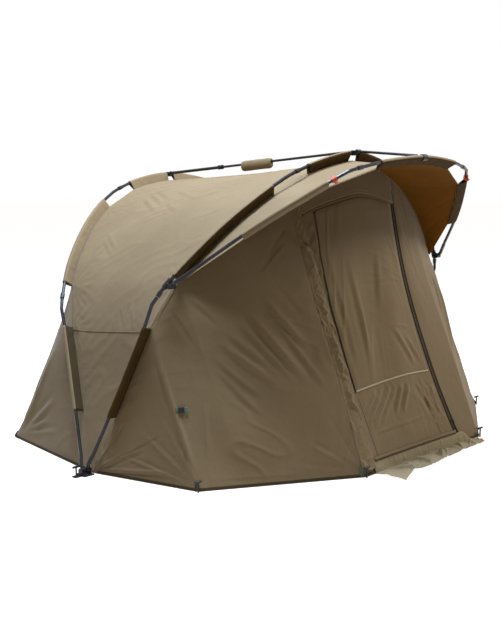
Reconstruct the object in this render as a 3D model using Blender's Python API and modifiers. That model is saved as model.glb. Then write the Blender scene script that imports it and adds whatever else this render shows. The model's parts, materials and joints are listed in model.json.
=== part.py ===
"""A one-man bivvy tent: two folding ribs and a hood rib on two pivot blocks, under one skin.

Metres, +Z up, the doorway faces -Y and X runs across the tent. The origin is on the
ground, in the middle of the footprint.
"""

import math

import bmesh
import bpy
from mathutils import Matrix, Vector

# Reach of the footprint in front of and behind the line of the pivot pins
FRONT_REACH = 1.100
REAR_REACH = 0.800
PIVOT_HEIGHT = 0.022

# The three ribs: half span, rise in their own plane and lean
REAR_HALF_SPAN = 1.2757
REAR_RISE = 1.481
REAR_LEAN = math.radians(31)
LEG_SPACING = 0.0224
CROWN_STEP = 0.014
MID_HALF_SPAN = REAR_HALF_SPAN - LEG_SPACING
MID_RISE = REAR_RISE - CROWN_STEP
MID_LEAN = math.radians(20)
HOOD_RISE = 0.783
HOOD_CLIMB = math.radians(43.7)

# Tubes and their ferrules
POLE_RADIUS = 0.008
FERRULE_RADIUS = 0.0105
FERRULE_LENGTH = 0.026
FERRULE_STEP = 0.0008
TUBE_GAP = 0.0024
KNEE = 0.026
HOOD_ARM_RADIUS = 0.0095
HOOD_ARM_LENGTH = 0.095

# Knuckles, pins and the clearances that they run with
KNUCKLE_RADIUS = 0.011
KNUCKLE_WIDTH = 0.0198
PIN_RADIUS = 0.004
RUNNING_GAP = 0.0004
SIDE_GAP = 0.0003
CUT_OVERRUN = 0.004

# Pivot blocks
BLOCK_PLATE_DEPTH = 0.062
BLOCK_PLATE_THICKNESS = 0.006
BLOCK_EAR_THICKNESS = 0.006
BLOCK_EAR_RADIUS = 0.0125
BLOCK_LUG_LENGTH = 0.034
BLOCK_LUG_WIDTH = 0.026

# Hubs that carry the hood rib on the middle rib
HUB_REACH = 0.027
HUB_LENGTH = 0.046
HUB_RADIUS = 0.0135
HUB_EAR_THICKNESS = 0.005
HUB_EAR_RADIUS = 0.012
HUB_ARM_DEPTH = 0.018

# Brackets at the three crowns
CLAMP_RADIUS = 0.0125
CLAMP_LENGTH = 0.034
SLEEVE_CLAMP_RADIUS = 0.0155
SLEEVE_CLAMP_SLOT = 0.0054
BAR_PIN_REACH = 0.025
BAR_PIN_LIFT = 0.007
BRACKET_EAR_THICKNESS = 0.004
BRACKET_EAR_RADIUS = 0.0098
SADDLE_WALL = 0.004
SADDLE_TAIL = 0.016

# Tension bars
BAR_RADIUS = 0.008
BAR_KNUCKLE_RADIUS = 0.009
BAR_KNUCKLE_WIDTH = 0.016
BAR_INNER_RADIUS = 0.0062
BAR_COLLAR_RADIUS = 0.0115
BAR_COLLAR_LENGTH = 0.030
BAR_OVERLAP = 0.050
REAR_BAR_STROKE = 0.130
REAR_BAR_OUTER_LENGTH = 0.385
REAR_BAR_TIP_GAP = 0.022
FRONT_BAR_TIP_GAP = 0.034
PAD_LENGTH = 0.200
PAD_START = 0.525
PAD_HALF_WIDTH = 0.015
PAD_RISE = 0.017
PAD_DROP = 0.036

# Fabric
CLOTH = 0.002
SLEEVE_CLOTH = 0.0015
SLEEVE_SLIT = 0.0008
SLEEVE_EASE = 0.0013
SLEEVE_WEB = 0.046
SEAM_LAP = 0.004
SEAM_STAND_OFF = 0.0030
WALL_STAND_OFF = 0.0032
HOOD_STAND_OFF = 0.0040
FRONT_DROP = 0.0045
FOOT_SPREAD = 0.0015
CLOSING_SHARE = 0.35
CLOSED_SHARE = 0.006
HEM_LIFT = 0.0012

# Corners of the ground line, measured from the pivot line
REAR_CORNER_WIDTH_SHARE = 0.8356
REAR_CORNER_INSET = 0.022
REAR_CORNER_HALF_WIDTH = REAR_HALF_SPAN * REAR_CORNER_WIDTH_SHARE
REAR_CORNER_BACK = REAR_REACH - REAR_CORNER_INSET
BLOCK_HEM_INSET = 0.0293
BLOCK_HEM_HALF_WIDTH = MID_HALF_SPAN - BLOCK_HEM_INSET
BLOCK_HEM_OFFSET = 0.006
SKIRT_REACH = 0.158
DOOR_PEG_HALF_WIDTH = 0.478
DOOR_PEG_FORWARD = FRONT_REACH - SKIRT_REACH
SHOULDER_PEG_WIDTH_SHARE = 0.8920
SHOULDER_PEG_REACH_SHARE = 0.5817
SHOULDER_PEG_HALF_WIDTH = MID_HALF_SPAN * SHOULDER_PEG_WIDTH_SHARE
SHOULDER_PEG_FORWARD = DOOR_PEG_FORWARD * SHOULDER_PEG_REACH_SHARE

# Door, window and skirt
DOOR_LEFT = 0.400
DOOR_RIGHT_WAIST = 0.212
DOOR_RIGHT_FLARE = 0.095
DOOR_TOP_DROP = 0.150
DOOR_WAIST_SHARE = 0.52
DOOR_TOP_SHARE = 0.11
DOOR_FOOT_HEIGHT = 0.055
DOOR_GAP = 0.0016
SEWN_GAP = 0.0004
WINDOW_FOOT_HEIGHT = 0.341
WINDOW_STAND_OFF = 0.0007
SKIRT_WAVE = 0.010
SKIRT_HALF_WIDTH = 0.405
SKIRT_STAND_OFF = 0.0034
SKIRT_THICKNESS = 0.0024

# Zip sliders
SLIDER_LENGTH = 0.024
SLIDER_WIDTH = 0.011
SLIDER_THICKNESS = 0.006
SLIDER_INSET = 0.010
SLIDER_GAP = 0.0007
PULL_LENGTH = 0.030
PULL_WIDTH = 0.006
PULL_THICKNESS = 0.002
ZIP_LOOK_SHARE = 0.01
ZIP_TURN_SHARE = 0.75
SLIDER_HEIGHT = 0.110

# Pegs
PEG_RADIUS = 0.0038
PEG_HEIGHT = 0.046
PEG_BAR_RADIUS = 0.0052
PEG_BAR_LENGTH = 0.036
PEG_GAP = 0.0004
SHOULDER_PEG_SHARES = (0.45, 0.91)
DOOR_PEG_SHARES = (0.3, 1.0)

# Hood clips
CLIP_RADIUS = 0.0122
CLIP_LENGTH = 0.024
CLIP_CAP_RADIUS = 0.007
CLIP_CAP_LENGTH = 0.008
CLIP_EASE = 0.0013

# Creases in the cloth
REAR_FOLD = 0.010
WING_FOLD = 0.007
DOOR_FOLD = 0.005
ROOF_DIP = 0.012

# Half of each rib, from its foot to its crown: shares of its half span and of its rise
REAR_ARCH_SHARES = [
    (1.000, 0.000),
    (0.930, 0.206),
    (0.848, 0.453),
    (0.826, 0.526),
    (0.765, 0.612),
    (0.691, 0.696),
    (0.550, 0.817),
    (0.426, 0.895),
    (0.320, 0.943),
    (0.168, 0.981),
    (0.000, 1.000),
]
MID_ARCH_SHARES = [
    (1.000, 0.000),
    (0.946, 0.200),
    (0.889, 0.455),
    (0.878, 0.540),
    (0.836, 0.590),
    (0.742, 0.677),
    (0.622, 0.770),
    (0.494, 0.850),
    (0.343, 0.927),
    (0.254, 0.955),
    (0.120, 0.985),
    (0.000, 1.000),
]
HOOD_ARCH_SHARES = [
    (1.000, 0.000),
    (0.951, 0.115),
    (0.813, 0.390),
    (0.710, 0.560),
    (0.609, 0.702),
    (0.520, 0.820),
    (0.470, 0.882),
    (0.410, 0.918),
    (0.300, 0.955),
    (0.150, 0.986),
    (0.000, 1.000),
]
ARCH_STEPS = 59
HOOD_STEPS = 37
CURVE_STEPS = 40

# Places along half a rib, as shares of its length from foot to crown
REAR_SPLIT_SHARES = (0.399, 0.804)
REAR_SLEEVE_SHARES = ((0.133, 0.330), (0.443, 0.734), (0.850, 0.989))
MID_SPLIT_SHARES = (0.392, 0.807)
MID_SLEEVE_SHARES = ((0.121, 0.321), (0.446, 0.739), (0.847, 0.984))
HUB_SHARE = 0.426
HOOD_SPLIT_SHARE = 0.683
HOOD_SLEEVE_SHARES = ((0.262, 0.572), (0.782, 1.0))
HOOD_CLIP_SHARE = 0.594
GUSSET_SHARE = 0.318
DOORPOST_SHARE = 0.762
REAR_CORNER_SHARE = 0.345
FIRST_PIECES = (2, 3, 2, 5, 2, 3, 1)
HOOD_PIECES = (3, 4, 2, 4)

# Places down the panels, as shares from their top edge to their hem
ROOF_ROW_SHARES = (0.0, 0.17, 0.33, 0.5, 0.67, 0.83, 1.0)
REAR_ROW_SHARES = (0.0, 0.12, 0.25, 0.38, 0.5, 0.62, 0.75, 0.88, 1.0)
HOOD_ROW_SHARES = (0.0, 0.2, 0.4, 0.6, 0.8, 1.0)
WING_ROW_SHARES = (0.0, 0.11, 0.22, 0.34, 0.46, 0.58, 0.7, 0.82, 0.92, 1.0)
DOOR_ROW_SHARES = (0.0, 0.1, 0.2, 0.3, 0.4, 0.5, 0.6, 0.7, 0.8, 0.9, 1.0)
SKIRT_EDGE_SHARES = (1.0, 0.8, 0.62, 0.66, 0.69, 0.63, 0.57, 0.54, 0.5, 0.48, 0.47, 0.47)

PIVOT_Y = (FRONT_REACH - REAR_REACH) / 2
ACROSS = Vector((1, 0, 0))
UP = Vector((0, 0, 1))
FORWARD = Vector((0, -1, 0))

parts = bpy.data.collections.new("bivvy_tent")
cutters = bpy.data.collections.new("bivvy_tent_cutters")


def clear_scene():
    for obj in list(bpy.data.objects):
        bpy.data.objects.remove(obj)


def material(name, colour, roughness, metallic=0.0):
    made = bpy.data.materials.new(name)
    made.use_nodes = True
    shader = made.node_tree.nodes["Principled BSDF"]
    shader.inputs["Base Color"].default_value = (*colour, 1)
    shader.inputs["Roughness"].default_value = roughness
    shader.inputs["Metallic"].default_value = metallic
    return made


# Frames and the empties that stand on the joint axes


def turned(origin, angle):
    """A frame at origin whose X stays across the tent and whose Y climbs at an angle from +Y."""
    return Matrix.Translation(origin) @ Matrix.Rotation(angle, 4, "X")


def along(origin, direction, across=ACROSS):
    """A frame at origin whose Z runs along a direction and whose X lies as near across as it can."""
    z = direction.normalized()
    y = z.cross(across).normalized()
    x = y.cross(z)
    frame = Matrix((x, y, z)).transposed().to_4x4()
    return Matrix.Translation(origin) @ frame


def pivot(name, frame, parent=None):
    """An empty on a joint's axis."""
    empty = bpy.data.objects.new(name, None)
    parts.objects.link(empty)
    seat(empty, frame, parent)
    empty["frame"] = [value for row in frame for value in row]
    return empty


def frame_of(empty):
    values = list(empty["frame"])
    return Matrix([values[row * 4 : row * 4 + 4] for row in range(4)])


def seat(obj, frame, parent):
    """Puts an object at a place in the tent's frame, under its parent."""
    obj.matrix_basis = frame
    if parent:
        obj.parent = parent
        obj.matrix_parent_inverse = frame_of(parent).inverted()


# Makers of solids


def add(name, data, look, frame, parent, smooth=False):
    obj = bpy.data.objects.new(name, data)
    parts.objects.link(obj)
    seat(obj, frame, parent)
    if look:
        data.materials.append(look)
    if smooth:
        data.shade_smooth()
        data.set_sharp_from_angle(angle=math.radians(40))
    return obj


def tool(name, mesh, frame):
    """A shape that another solid is joined with or cut by."""
    obj = bpy.data.objects.new(name, mesh)
    cutters.objects.link(obj)
    obj.matrix_basis = frame
    obj.hide_render = True
    obj.display_type = "WIRE"
    return obj


def rod_mesh(name, radius, length, sides=16, top_radius=None):
    """A rod along Z, centred on its origin."""
    mesh = bpy.data.meshes.new(name)
    bm = bmesh.new()
    end = radius if top_radius is None else top_radius
    bmesh.ops.create_cone(
        bm, cap_ends=True, segments=sides, radius1=radius, radius2=end, depth=length
    )
    bm.to_mesh(mesh)
    bm.free()
    return mesh


def block_mesh(name, size, bevel=0.0):
    """A box centred on its origin, with its edges rounded by bevel."""
    mesh = bpy.data.meshes.new(name)
    bm = bmesh.new()
    bmesh.ops.create_cube(bm, size=1)
    bmesh.ops.scale(bm, vec=size, verts=bm.verts)
    if bevel:
        bmesh.ops.bevel(bm, geom=bm.edges[:], offset=bevel, segments=1, affect="EDGES")
    bm.to_mesh(mesh)
    bm.free()
    return mesh


def combine(obj, operation, other):
    step = obj.modifiers.new(other.name, "BOOLEAN")
    step.operation = operation
    step.object = other
    step.solver = "EXACT"


def join(obj, mesh, frame):
    combine(obj, "UNION", tool(f"{obj.name}_with_{mesh.name}", mesh, frame))


def cut(obj, mesh, frame):
    combine(obj, "DIFFERENCE", tool(f"{obj.name}_less_{mesh.name}", mesh, frame))


def mesh_from(curve_object):
    """Makes a curve object a welded mesh object of the same name and place."""
    bpy.context.view_layer.update()
    graph = bpy.context.evaluated_depsgraph_get()
    mesh = bpy.data.meshes.new_from_object(curve_object.evaluated_get(graph))
    bm = bmesh.new()
    bm.from_mesh(mesh)
    bmesh.ops.remove_doubles(bm, verts=bm.verts, dist=POLE_RADIUS / 1000)
    bmesh.ops.recalc_face_normals(bm, faces=bm.faces)
    bm.to_mesh(mesh)
    bm.free()
    name = curve_object.name
    parent = curve_object.parent
    frame = curve_object.matrix_basis.copy()
    data = curve_object.data
    bpy.data.objects.remove(curve_object)
    bpy.data.curves.remove(data)
    mesh.name = name
    return add(name, mesh, None, frame, parent)


def sheet(name, rows, look, parent, thickness=CLOTH):
    """A cloth panel of even thickness through rows of points in the tent's frame."""
    mesh = bpy.data.meshes.new(name)
    bm = bmesh.new()
    grid = [[bm.verts.new(point) for point in row] for row in rows]
    for upper, lower in zip(grid, grid[1:]):
        for a, b, c, d in zip(upper, upper[1:], lower[1:], lower):
            bm.faces.new((a, b, c, d))
    bm.to_mesh(mesh)
    bm.free()
    obj = add(name, mesh, look, Matrix.Identity(4), parent)
    shell = obj.modifiers.new("cloth", "SOLIDIFY")
    shell.thickness = thickness
    shell.offset = 0
    return obj


# The arch of a rib, as one line that its tubes, its sleeves and the panels all follow


def smooth_through(points, steps):
    """A centripetal Catmull-Rom curve through points, with steps pieces to each stretch."""
    first = points[0] * 2 - points[1]
    last = points[-1] * 2 - points[-2]
    ends = [first, *points, last]
    curve = [points[0]]
    for p0, p1, p2, p3 in zip(ends, ends[1:], ends[2:], ends[3:]):
        knots = [0.0]
        for a, b in ((p0, p1), (p1, p2), (p2, p3)):
            knots.append(knots[-1] + (b - a).length ** 0.5)
        for step in range(1, steps + 1):
            t = knots[1] + (knots[2] - knots[1]) * step / steps
            level = [p0, p1, p2, p3]
            for reach in (1, 2, 3):
                level = [
                    blend_point(level[i], level[i + 1], *knot_pair(knots, i, reach), t)
                    for i in range(4 - reach)
                ]
            curve.append(level[0])
    return curve


def knot_pair(knots, index, reach):
    """The two knots that one level of the curve's triangle spans."""
    if reach == 1:
        return knots[index], knots[index + 1]
    if reach == 2:
        return knots[index], knots[index + 2]
    return knots[1], knots[2]


def blend_point(a, b, start, end, t):
    return a * ((end - t) / (end - start)) + b * ((t - start) / (end - start))


def resample(points, steps):
    """The same line in steps pieces of equal length."""
    lengths = [0.0]
    for a, b in zip(points, points[1:]):
        lengths.append(lengths[-1] + (b - a).length)
    spaced = []
    index = 0
    for step in range(steps + 1):
        target = lengths[-1] * step / steps
        while index < len(points) - 2 and lengths[index + 1] < target:
            index += 1
        span = lengths[index + 1] - lengths[index]
        share = (target - lengths[index]) / span
        spaced.append(points[index].lerp(points[index + 1], min(max(share, 0), 1)))
    return spaced


class Arch:
    """A rib's centre line in its own plane, and the frame that the plane lies in."""

    def __init__(self, half_span, rise, shares, steps, frame, sleeves):
        half = [Vector((-half_span * u, rise * v, 0)) for u, v in shares]
        whole = half + [Vector((-p.x, p.y, 0)) for p in reversed(half[:-1])]
        self.points = resample(smooth_through(whole, CURVE_STEPS), steps)
        self.steps = steps
        self.sleeves = sleeves
        self.frame = frame
        self.turn = frame.to_3x3()
        self.length = sum((b - a).length for a, b in zip(self.points, self.points[1:]))

    def inward(self, index):
        """The direction in the plane, square to the line, that points into the arch."""
        before = self.points[max(index - 1, 0)]
        after = self.points[min(index + 1, self.steps)]
        run = (after - before).normalized()
        return Vector((run.y, -run.x, 0))

    def at(self, share):
        """The point at a share of the whole line, on its straight pieces."""
        place = share * self.steps
        index = min(int(place), self.steps - 1)
        return self.points[index].lerp(self.points[index + 1], place - index)

    def stretch(self, start, end):
        """The line between two shares of it, with both ends."""
        inside = [
            self.points[index]
            for index in range(self.steps + 1)
            if start * self.steps + 0.1 < index < end * self.steps - 0.1
        ]
        return [self.at(start), *inside, self.at(end)]

    def edge(self, share, inset, ahead):
        """A point in the tent's frame, inset from the line and ahead of the rib's plane."""
        place_on = share * self.steps
        index = min(int(place_on), self.steps - 1)
        low, high = [
            self.points[end] + self.inward(end) * inset for end in (index, index + 1)
        ]
        local = low.lerp(high, place_on - index)
        local.z = ahead
        return self.frame @ local

    def seam(self, half, side, inset, ahead, foot):
        """The canopy's edge: along the sleeves, and taut across the bare pole between them."""
        stops = [stop for pair in self.sleeves for stop in pair]
        if half < stops[0]:
            first = self.edge(half_share(stops[0], side), inset, ahead * CLOSING_SHARE)
            return foot.lerp(first, half / stops[0])
        for start, end in zip(stops[1::2], stops[2::2]):
            if start < half < end:
                low = self.edge(half_share(start, side), inset, ahead)
                high = self.edge(half_share(end, side), inset, ahead)
                return low.lerp(high, (half - start) / (end - start))
        return self.edge(half_share(half, side), inset, ahead)

    def run(self, share):
        """The direction of the line at a share of it, in the tent's frame."""
        index = min(int(share * self.steps), self.steps - 1)
        return self.turn @ (self.points[index + 1] - self.points[index]).normalized()


def half_share(share, side):
    """The share of the whole arch for a share of half of it, counted from one foot."""
    return share / 2 if side < 0 else 1 - share / 2


def place(arch, share, side):
    return arch.frame @ arch.at(half_share(share, side))


def columns(stops, pieces):
    """Shares of half an arch through the stops, with each stretch in equal pieces."""
    halves = [0.0]
    for start, end, count in zip([0.0, *stops], [*stops, 1.0], pieces):
        if end > start:
            halves += [start + (end - start) * step / count for step in range(1, count + 1)]
    halves.append(stops[0] - CLOSED_SHARE)
    return sorted(halves)


def both_halves(halves):
    """Pairs of a half share and a side, from the left foot over the crown to the right one."""
    left = [(half, -1) for half in halves]
    return left + [(half, 1) for half in reversed(halves[:-1])]


SIDES = ((-1, "left"), (1, "right"))


# Poles


def pole(name, points, look, frame, parent, ends=(False, False)):
    """A tube along points, with a ferrule at either end where ends says so."""
    line = [(point, 1.0) for point in points]
    swell = FERRULE_RADIUS / POLE_RADIUS
    if ends[0]:
        line = ferruled(line, swell, FERRULE_LENGTH)
    if ends[1]:
        line = ferruled(line[::-1], swell, FERRULE_LENGTH)[::-1]
    return tube(name, line, look, frame, parent)


def tube(name, line, look, frame, parent):
    """A tube through pairs of a point and a share of its radius."""
    curve = bpy.data.curves.new(name, "CURVE")
    curve.dimensions = "3D"
    curve.twist_mode = "Z_UP"
    curve.bevel_depth = POLE_RADIUS
    curve.bevel_resolution = 2
    curve.use_fill_caps = True
    spline = curve.splines.new("POLY")
    spline.points.add(len(line) - 1)
    for target, (point, scale) in zip(spline.points, line):
        target.co = (*point, 1)
        target.radius = scale
    made = mesh_from(add(name, curve, look, frame, parent))
    made.data.shade_smooth()
    made.data.set_sharp_from_angle(angle=math.radians(40))
    return made


def ferruled(line, swell, length):
    """The line with its first stretch swollen, ending in a step."""
    start = line[0][0]
    rest = [item for item in line[1:] if (item[0] - start).length > length * 1.06]
    toward = (rest[0][0] - start).normalized()
    edge = start + toward * length
    step = start + toward * (length + FERRULE_STEP)
    return [(start, swell), (edge, swell), (step, 1.0), *rest]


def kneed(points):
    """The points with a first stretch that stands square to the pin at the foot."""
    knee = points[0] + Vector((0, KNEE, 0))
    return [points[0], knee, *points[1:]]


def knuckle(obj, frame, radius, width, pin):
    """Gives the end of a tube an eye that turns on a pin, in a frame whose Z is the pin."""
    join(obj, rod_mesh("knuckle", radius, width, 20), frame)
    bore = pin + RUNNING_GAP
    cut(obj, rod_mesh("bore", bore, width + CUT_OVERRUN, 20), frame)


# Sleeves: a fold of cloth round the pole, whose two layers run in to the canopy


def sleeve_outline(name):
    inner = POLE_RADIUS + SLEEVE_EASE
    outer = inner + SLEEVE_CLOTH
    near = SLEEVE_SLIT / 2
    far = near + SLEEVE_CLOTH
    turns = 7
    outline = [(SLEEVE_WEB, far)]
    for radius, offset, order in ((outer, far, 1), (inner, near, -1)):
        opening = math.asin(offset / radius)
        angles = [
            opening + (math.tau - 2 * opening) * step / turns for step in range(turns + 1)
        ]
        arc = [(radius * math.cos(a), radius * math.sin(a)) for a in angles]
        outline += arc[::order]
        outline += [(SLEEVE_WEB, -offset), (SLEEVE_WEB, -near)] if order > 0 else []
    outline.append((SLEEVE_WEB, near))
    curve = bpy.data.curves.new(name, "CURVE")
    curve.dimensions = "2D"
    spline = curve.splines.new("POLY")
    spline.points.add(len(outline) - 1)
    for target, (x, y) in zip(spline.points, outline):
        target.co = (x, y, 0, 1)
    spline.use_cyclic_u = True
    return tool(name, curve, Matrix.Identity(4))


def sleeve(name, arch, start, end, outline, look, parent):
    curve = bpy.data.curves.new(name, "CURVE")
    curve.dimensions = "3D"
    curve.twist_mode = "Z_UP"
    curve.bevel_mode = "OBJECT"
    curve.bevel_object = outline
    curve.use_fill_caps = True
    points = arch.stretch(start, end)
    spline = curve.splines.new("POLY")
    spline.points.add(len(points) - 1)
    for target, point in zip(spline.points, points):
        target.co = (*point, 1)
    made = mesh_from(add(name, curve, look, arch.frame, parent))
    made.data.shade_smooth()
    made.data.set_sharp_from_angle(angle=math.radians(40))
    return made


def rib_sleeves(prefix, names, arch, outline, look, parent):
    for side, hand in SIDES:
        for word, (low, high) in zip(names, arch.sleeves):
            start, end = sorted((half_share(low, side), half_share(high, side)))
            sleeve(f"{prefix}_{word}_sleeve_{hand}", arch, start, end, outline, look, parent)


# The canopy


def ground(x, y):
    return Vector((x, PIVOT_Y + y, HEM_LIFT))


def down(top, foot, shares):
    return [top.lerp(foot, share) for share in shares]


def ripple(across, along_it, count, lean):
    """A smooth run of creases that slant across a panel, between -1 and 1."""
    return math.sin(math.tau * (count * across + lean * along_it))


def pushed(rows, depth):
    """Moves each point of a grid off its surface by depth(column share, row share)."""
    moved = []
    for r, row in enumerate(rows):
        line = []
        for c, point in enumerate(row):
            left, right = row[max(c - 1, 0)], row[min(c + 1, len(row) - 1)]
            above = rows[max(r - 1, 0)][c]
            below = rows[min(r + 1, len(rows) - 1)][c]
            normal = (right - left).cross(below - above)
            share = (c / (len(row) - 1), r / (len(rows) - 1))
            step = normal.normalized() * depth(*share) if normal.length else Vector()
            line.append(point + step)
        moved.append(line)
    return moved


def calm_edges(across, along_it):
    """One in the middle of a panel and nothing at its four edges."""
    return math.sin(math.pi * across) ** 0.5 * math.sin(math.pi * along_it)


def block_foot(side, offset):
    return ground(side * BLOCK_HEM_HALF_WIDTH, offset)


def stops_of(arch):
    return [stop for pair in arch.sleeves for stop in pair]


def roof_panel(rear, mid, look):
    """The panel from the rear rib to the middle rib, over the top and down both sides."""
    inset = SLEEVE_WEB - SEAM_LAP
    rear_halves = columns(stops_of(rear), FIRST_PIECES)
    mid_halves = columns(stops_of(mid), FIRST_PIECES)
    lines = []
    pairs = zip(both_halves(rear_halves), both_halves(mid_halves))
    for (rear_half, side), (mid_half, _) in pairs:
        foot = block_foot(side, BLOCK_HEM_OFFSET - FOOT_SPREAD)
        back = rear.seam(rear_half, side, inset, SEAM_STAND_OFF, foot)
        foot = block_foot(side, FOOT_SPREAD - BLOCK_HEM_OFFSET)
        front = mid.seam(mid_half, side, inset, -SEAM_STAND_OFF, foot)
        lines.append(down(back, front, ROOF_ROW_SHARES))
    rows = [list(row) for row in zip(*lines)]
    rows = pushed(rows, lambda c, r: ROOF_DIP * calm_edges(c, r))
    return sheet("roof_panel", rows, look, None)


def rear_foot(half, side):
    """The rear hem, from a block round its corner to the middle."""
    corner = ground(side * REAR_CORNER_HALF_WIDTH, REAR_CORNER_BACK)
    if half <= REAR_CORNER_SHARE:
        start = block_foot(side, BLOCK_HEM_OFFSET + FOOT_SPREAD)
        return start.lerp(corner, half / REAR_CORNER_SHARE)
    middle = ground(0, REAR_REACH - CLOTH / 2)
    along_wall = (half - REAR_CORNER_SHARE) / (1 - REAR_CORNER_SHARE)
    return corner.lerp(middle, along_wall**1.5)


def rear_wall(rear, look):
    inset = SLEEVE_WEB - SEAM_LAP
    halves = columns(stops_of(rear), FIRST_PIECES)
    nearest = min(range(len(halves)), key=lambda k: abs(halves[k] - REAR_CORNER_SHARE))
    halves[nearest] = REAR_CORNER_SHARE
    lines = []
    for half, side in both_halves(halves):
        foot = block_foot(side, BLOCK_HEM_OFFSET + FOOT_SPREAD) + UP * 2 * HEM_LIFT
        top = rear.seam(half, side, inset, -WALL_STAND_OFF, foot)
        lines.append(down(top, rear_foot(half, side), REAR_ROW_SHARES))
    rows = [list(row) for row in zip(*lines)]

    def crease(c, r):
        return REAR_FOLD * calm_edges(c, r) * ripple(abs(c - 0.5) * 2, r, 3, 0.6)

    return sheet("rear_wall", pushed(rows, crease), look, None)


def hood_panel(mid, hood, look, parent):
    """The roof from the middle rib to the hood rib, drawn in to a point at both hubs."""
    inset = SLEEVE_WEB - SEAM_LAP
    low = mid.sleeves[1][0]
    halves = columns(stops_of(hood), HOOD_PIECES)
    lines = []
    for half, side in both_halves(halves):
        back_half = low + (1 - low) * half
        back = mid.seam(back_half, side, inset, SEAM_STAND_OFF, None)
        corner = mid.edge(half_share(low, side), inset, SEAM_STAND_OFF + 4 * CLOTH)
        tip = hood.seam(half, side, inset, -HOOD_STAND_OFF, corner)
        lines.append(down(back, tip, HOOD_ROW_SHARES))
    rows = [list(row) for row in zip(*lines)]
    rows = pushed(rows, lambda c, r: ROOF_DIP * calm_edges(c, r) / 2)
    return sheet("hood_panel", rows, look, parent)


class Front:
    """The front wall: straight lines from the middle rib down to the hem."""

    def __init__(self, mid):
        self.mid = mid
        self.inset = SLEEVE_WEB + FRONT_DROP

    def top(self, share):
        side = -1 if share < 0.5 else 1
        half = 2 * (share if side < 0 else 1 - share)
        foot = block_foot(side, -BLOCK_HEM_OFFSET - FOOT_SPREAD) + UP * 2 * HEM_LIFT
        leg_top, next_low = self.mid.sleeves[0][1], self.mid.sleeves[1][0]
        lapped = SLEEVE_WEB - SEAM_LAP
        if half <= leg_top:
            return self.mid.seam(half, side, lapped, SEAM_STAND_OFF, foot)
        if half < next_low:
            low = self.mid.edge(half_share(leg_top, side), lapped, SEAM_STAND_OFF)
            high = self.mid.edge(half_share(next_low, side), self.inset, 0)
            return low.lerp(high, (half - leg_top) / (next_low - leg_top))
        return self.mid.seam(half, side, self.inset, 0, foot)

    def foot(self, share):
        side = -1 if share < 0.5 else 1
        half = 2 * (share if side < 0 else 1 - share)
        block = block_foot(side, -BLOCK_HEM_OFFSET - FOOT_SPREAD)
        shoulder = ground(side * SHOULDER_PEG_HALF_WIDTH, -SHOULDER_PEG_FORWARD)
        post = ground(side * DOOR_PEG_HALF_WIDTH, -DOOR_PEG_FORWARD)
        middle = ground(0, -DOOR_PEG_FORWARD)
        stops = (0, GUSSET_SHARE, DOORPOST_SHARE, 1)
        corners = (block, shoulder, post, middle)
        for index in range(3):
            if half <= stops[index + 1] or index == 2:
                span = stops[index + 1] - stops[index]
                return corners[index].lerp(corners[index + 1], (half - stops[index]) / span)

    def at(self, share, drop):
        return self.top(share).lerp(self.foot(share), drop)

    def outward(self, share, drop):
        small = 1 / (4 * self.mid.steps)
        across = self.at(share + small, drop) - self.at(share - small, drop)
        return (self.foot(share) - self.top(share)).cross(across).normalized()

    def share_at(self, x, drop):
        """Where across the wall, at this drop, the wall is at a given x."""
        low, high = 0.2, 0.8
        for _ in range(40):
            middle = (low + high) / 2
            low, high = (middle, high) if self.at(middle, drop).x < x else (low, middle)
        return (low + high) / 2

    def drop_at(self, share, height):
        """How far down the wall, from 0 to 1, it is at a given height."""
        top = self.top(share)
        return (top.z - height) / (top.z - self.foot(share).z)


def door_right(drop):
    """The doorway's right side, which is drawn in at the waist."""
    span = 1 - DOOR_WAIST_SHARE if drop > DOOR_WAIST_SHARE else DOOR_WAIST_SHARE - DOOR_TOP_SHARE
    return DOOR_RIGHT_WAIST + DOOR_RIGHT_FLARE * ((drop - DOOR_WAIST_SHARE) / span) ** 2


def wing(front, side, hand, look, parent):
    """The front panel between a leg of the middle rib and the doorway."""
    foot = front.mid.sleeves[0][0]
    near_foot = (foot - CLOSED_SHARE) / 2
    gusset = [0, foot / 4, near_foot, foot / 2, (foot + GUSSET_SHARE) / 4, GUSSET_SHARE / 2]
    body_span = (DOORPOST_SHARE - GUSSET_SHARE) / 2
    body = [GUSSET_SHARE / 2 + body_span * step / 7 for step in range(1, 8)]
    rows = []
    for drop in WING_ROW_SHARES:
        if side < 0:
            last = front.share_at(-DOOR_LEFT - DOOR_GAP, drop)
            shares = [*gusset, *body, last]
        else:
            last = front.share_at(door_right(drop) + DOOR_GAP, drop)
            shares = [last, *[1 - share for share in reversed(gusset + body)]]
        rows.append([front.at(share, drop) for share in shares])

    def crease(c, r):
        inner = c if side < 0 else 1 - c
        calm = calm_edges(inner, r) * max(0, min(1, (inner - 0.4) * 6))
        return WING_FOLD * calm * max(0, 1 - inner) * 3 * ripple(inner, r, 2.2, -1.6)

    return sheet(f"front_wing_{hand}", pushed(rows, crease), look, parent)


def header_panel(front, look, parent):
    """The strip of wall between the middle rib and the top of the doorway."""
    rows = []
    top_drop = door_top(front)
    reach = DOOR_GAP - 2 * SEWN_GAP
    for drop in (0, top_drop / 2, top_drop - SEWN_GAP / front_height(front)):
        left = front.share_at(-DOOR_LEFT - reach, drop)
        right = front.share_at(door_right(drop) + reach, drop)
        rows.append([front.at(left + (right - left) * c / 8, drop) for c in range(9)])
    return sheet("door_header", rows, look, parent)


def front_height(front):
    return (front.top(0.5) - front.foot(0.5)).length


def door_top(front):
    return front.drop_at(0.5, front.top(0.5).z - DOOR_TOP_DROP)


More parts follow.
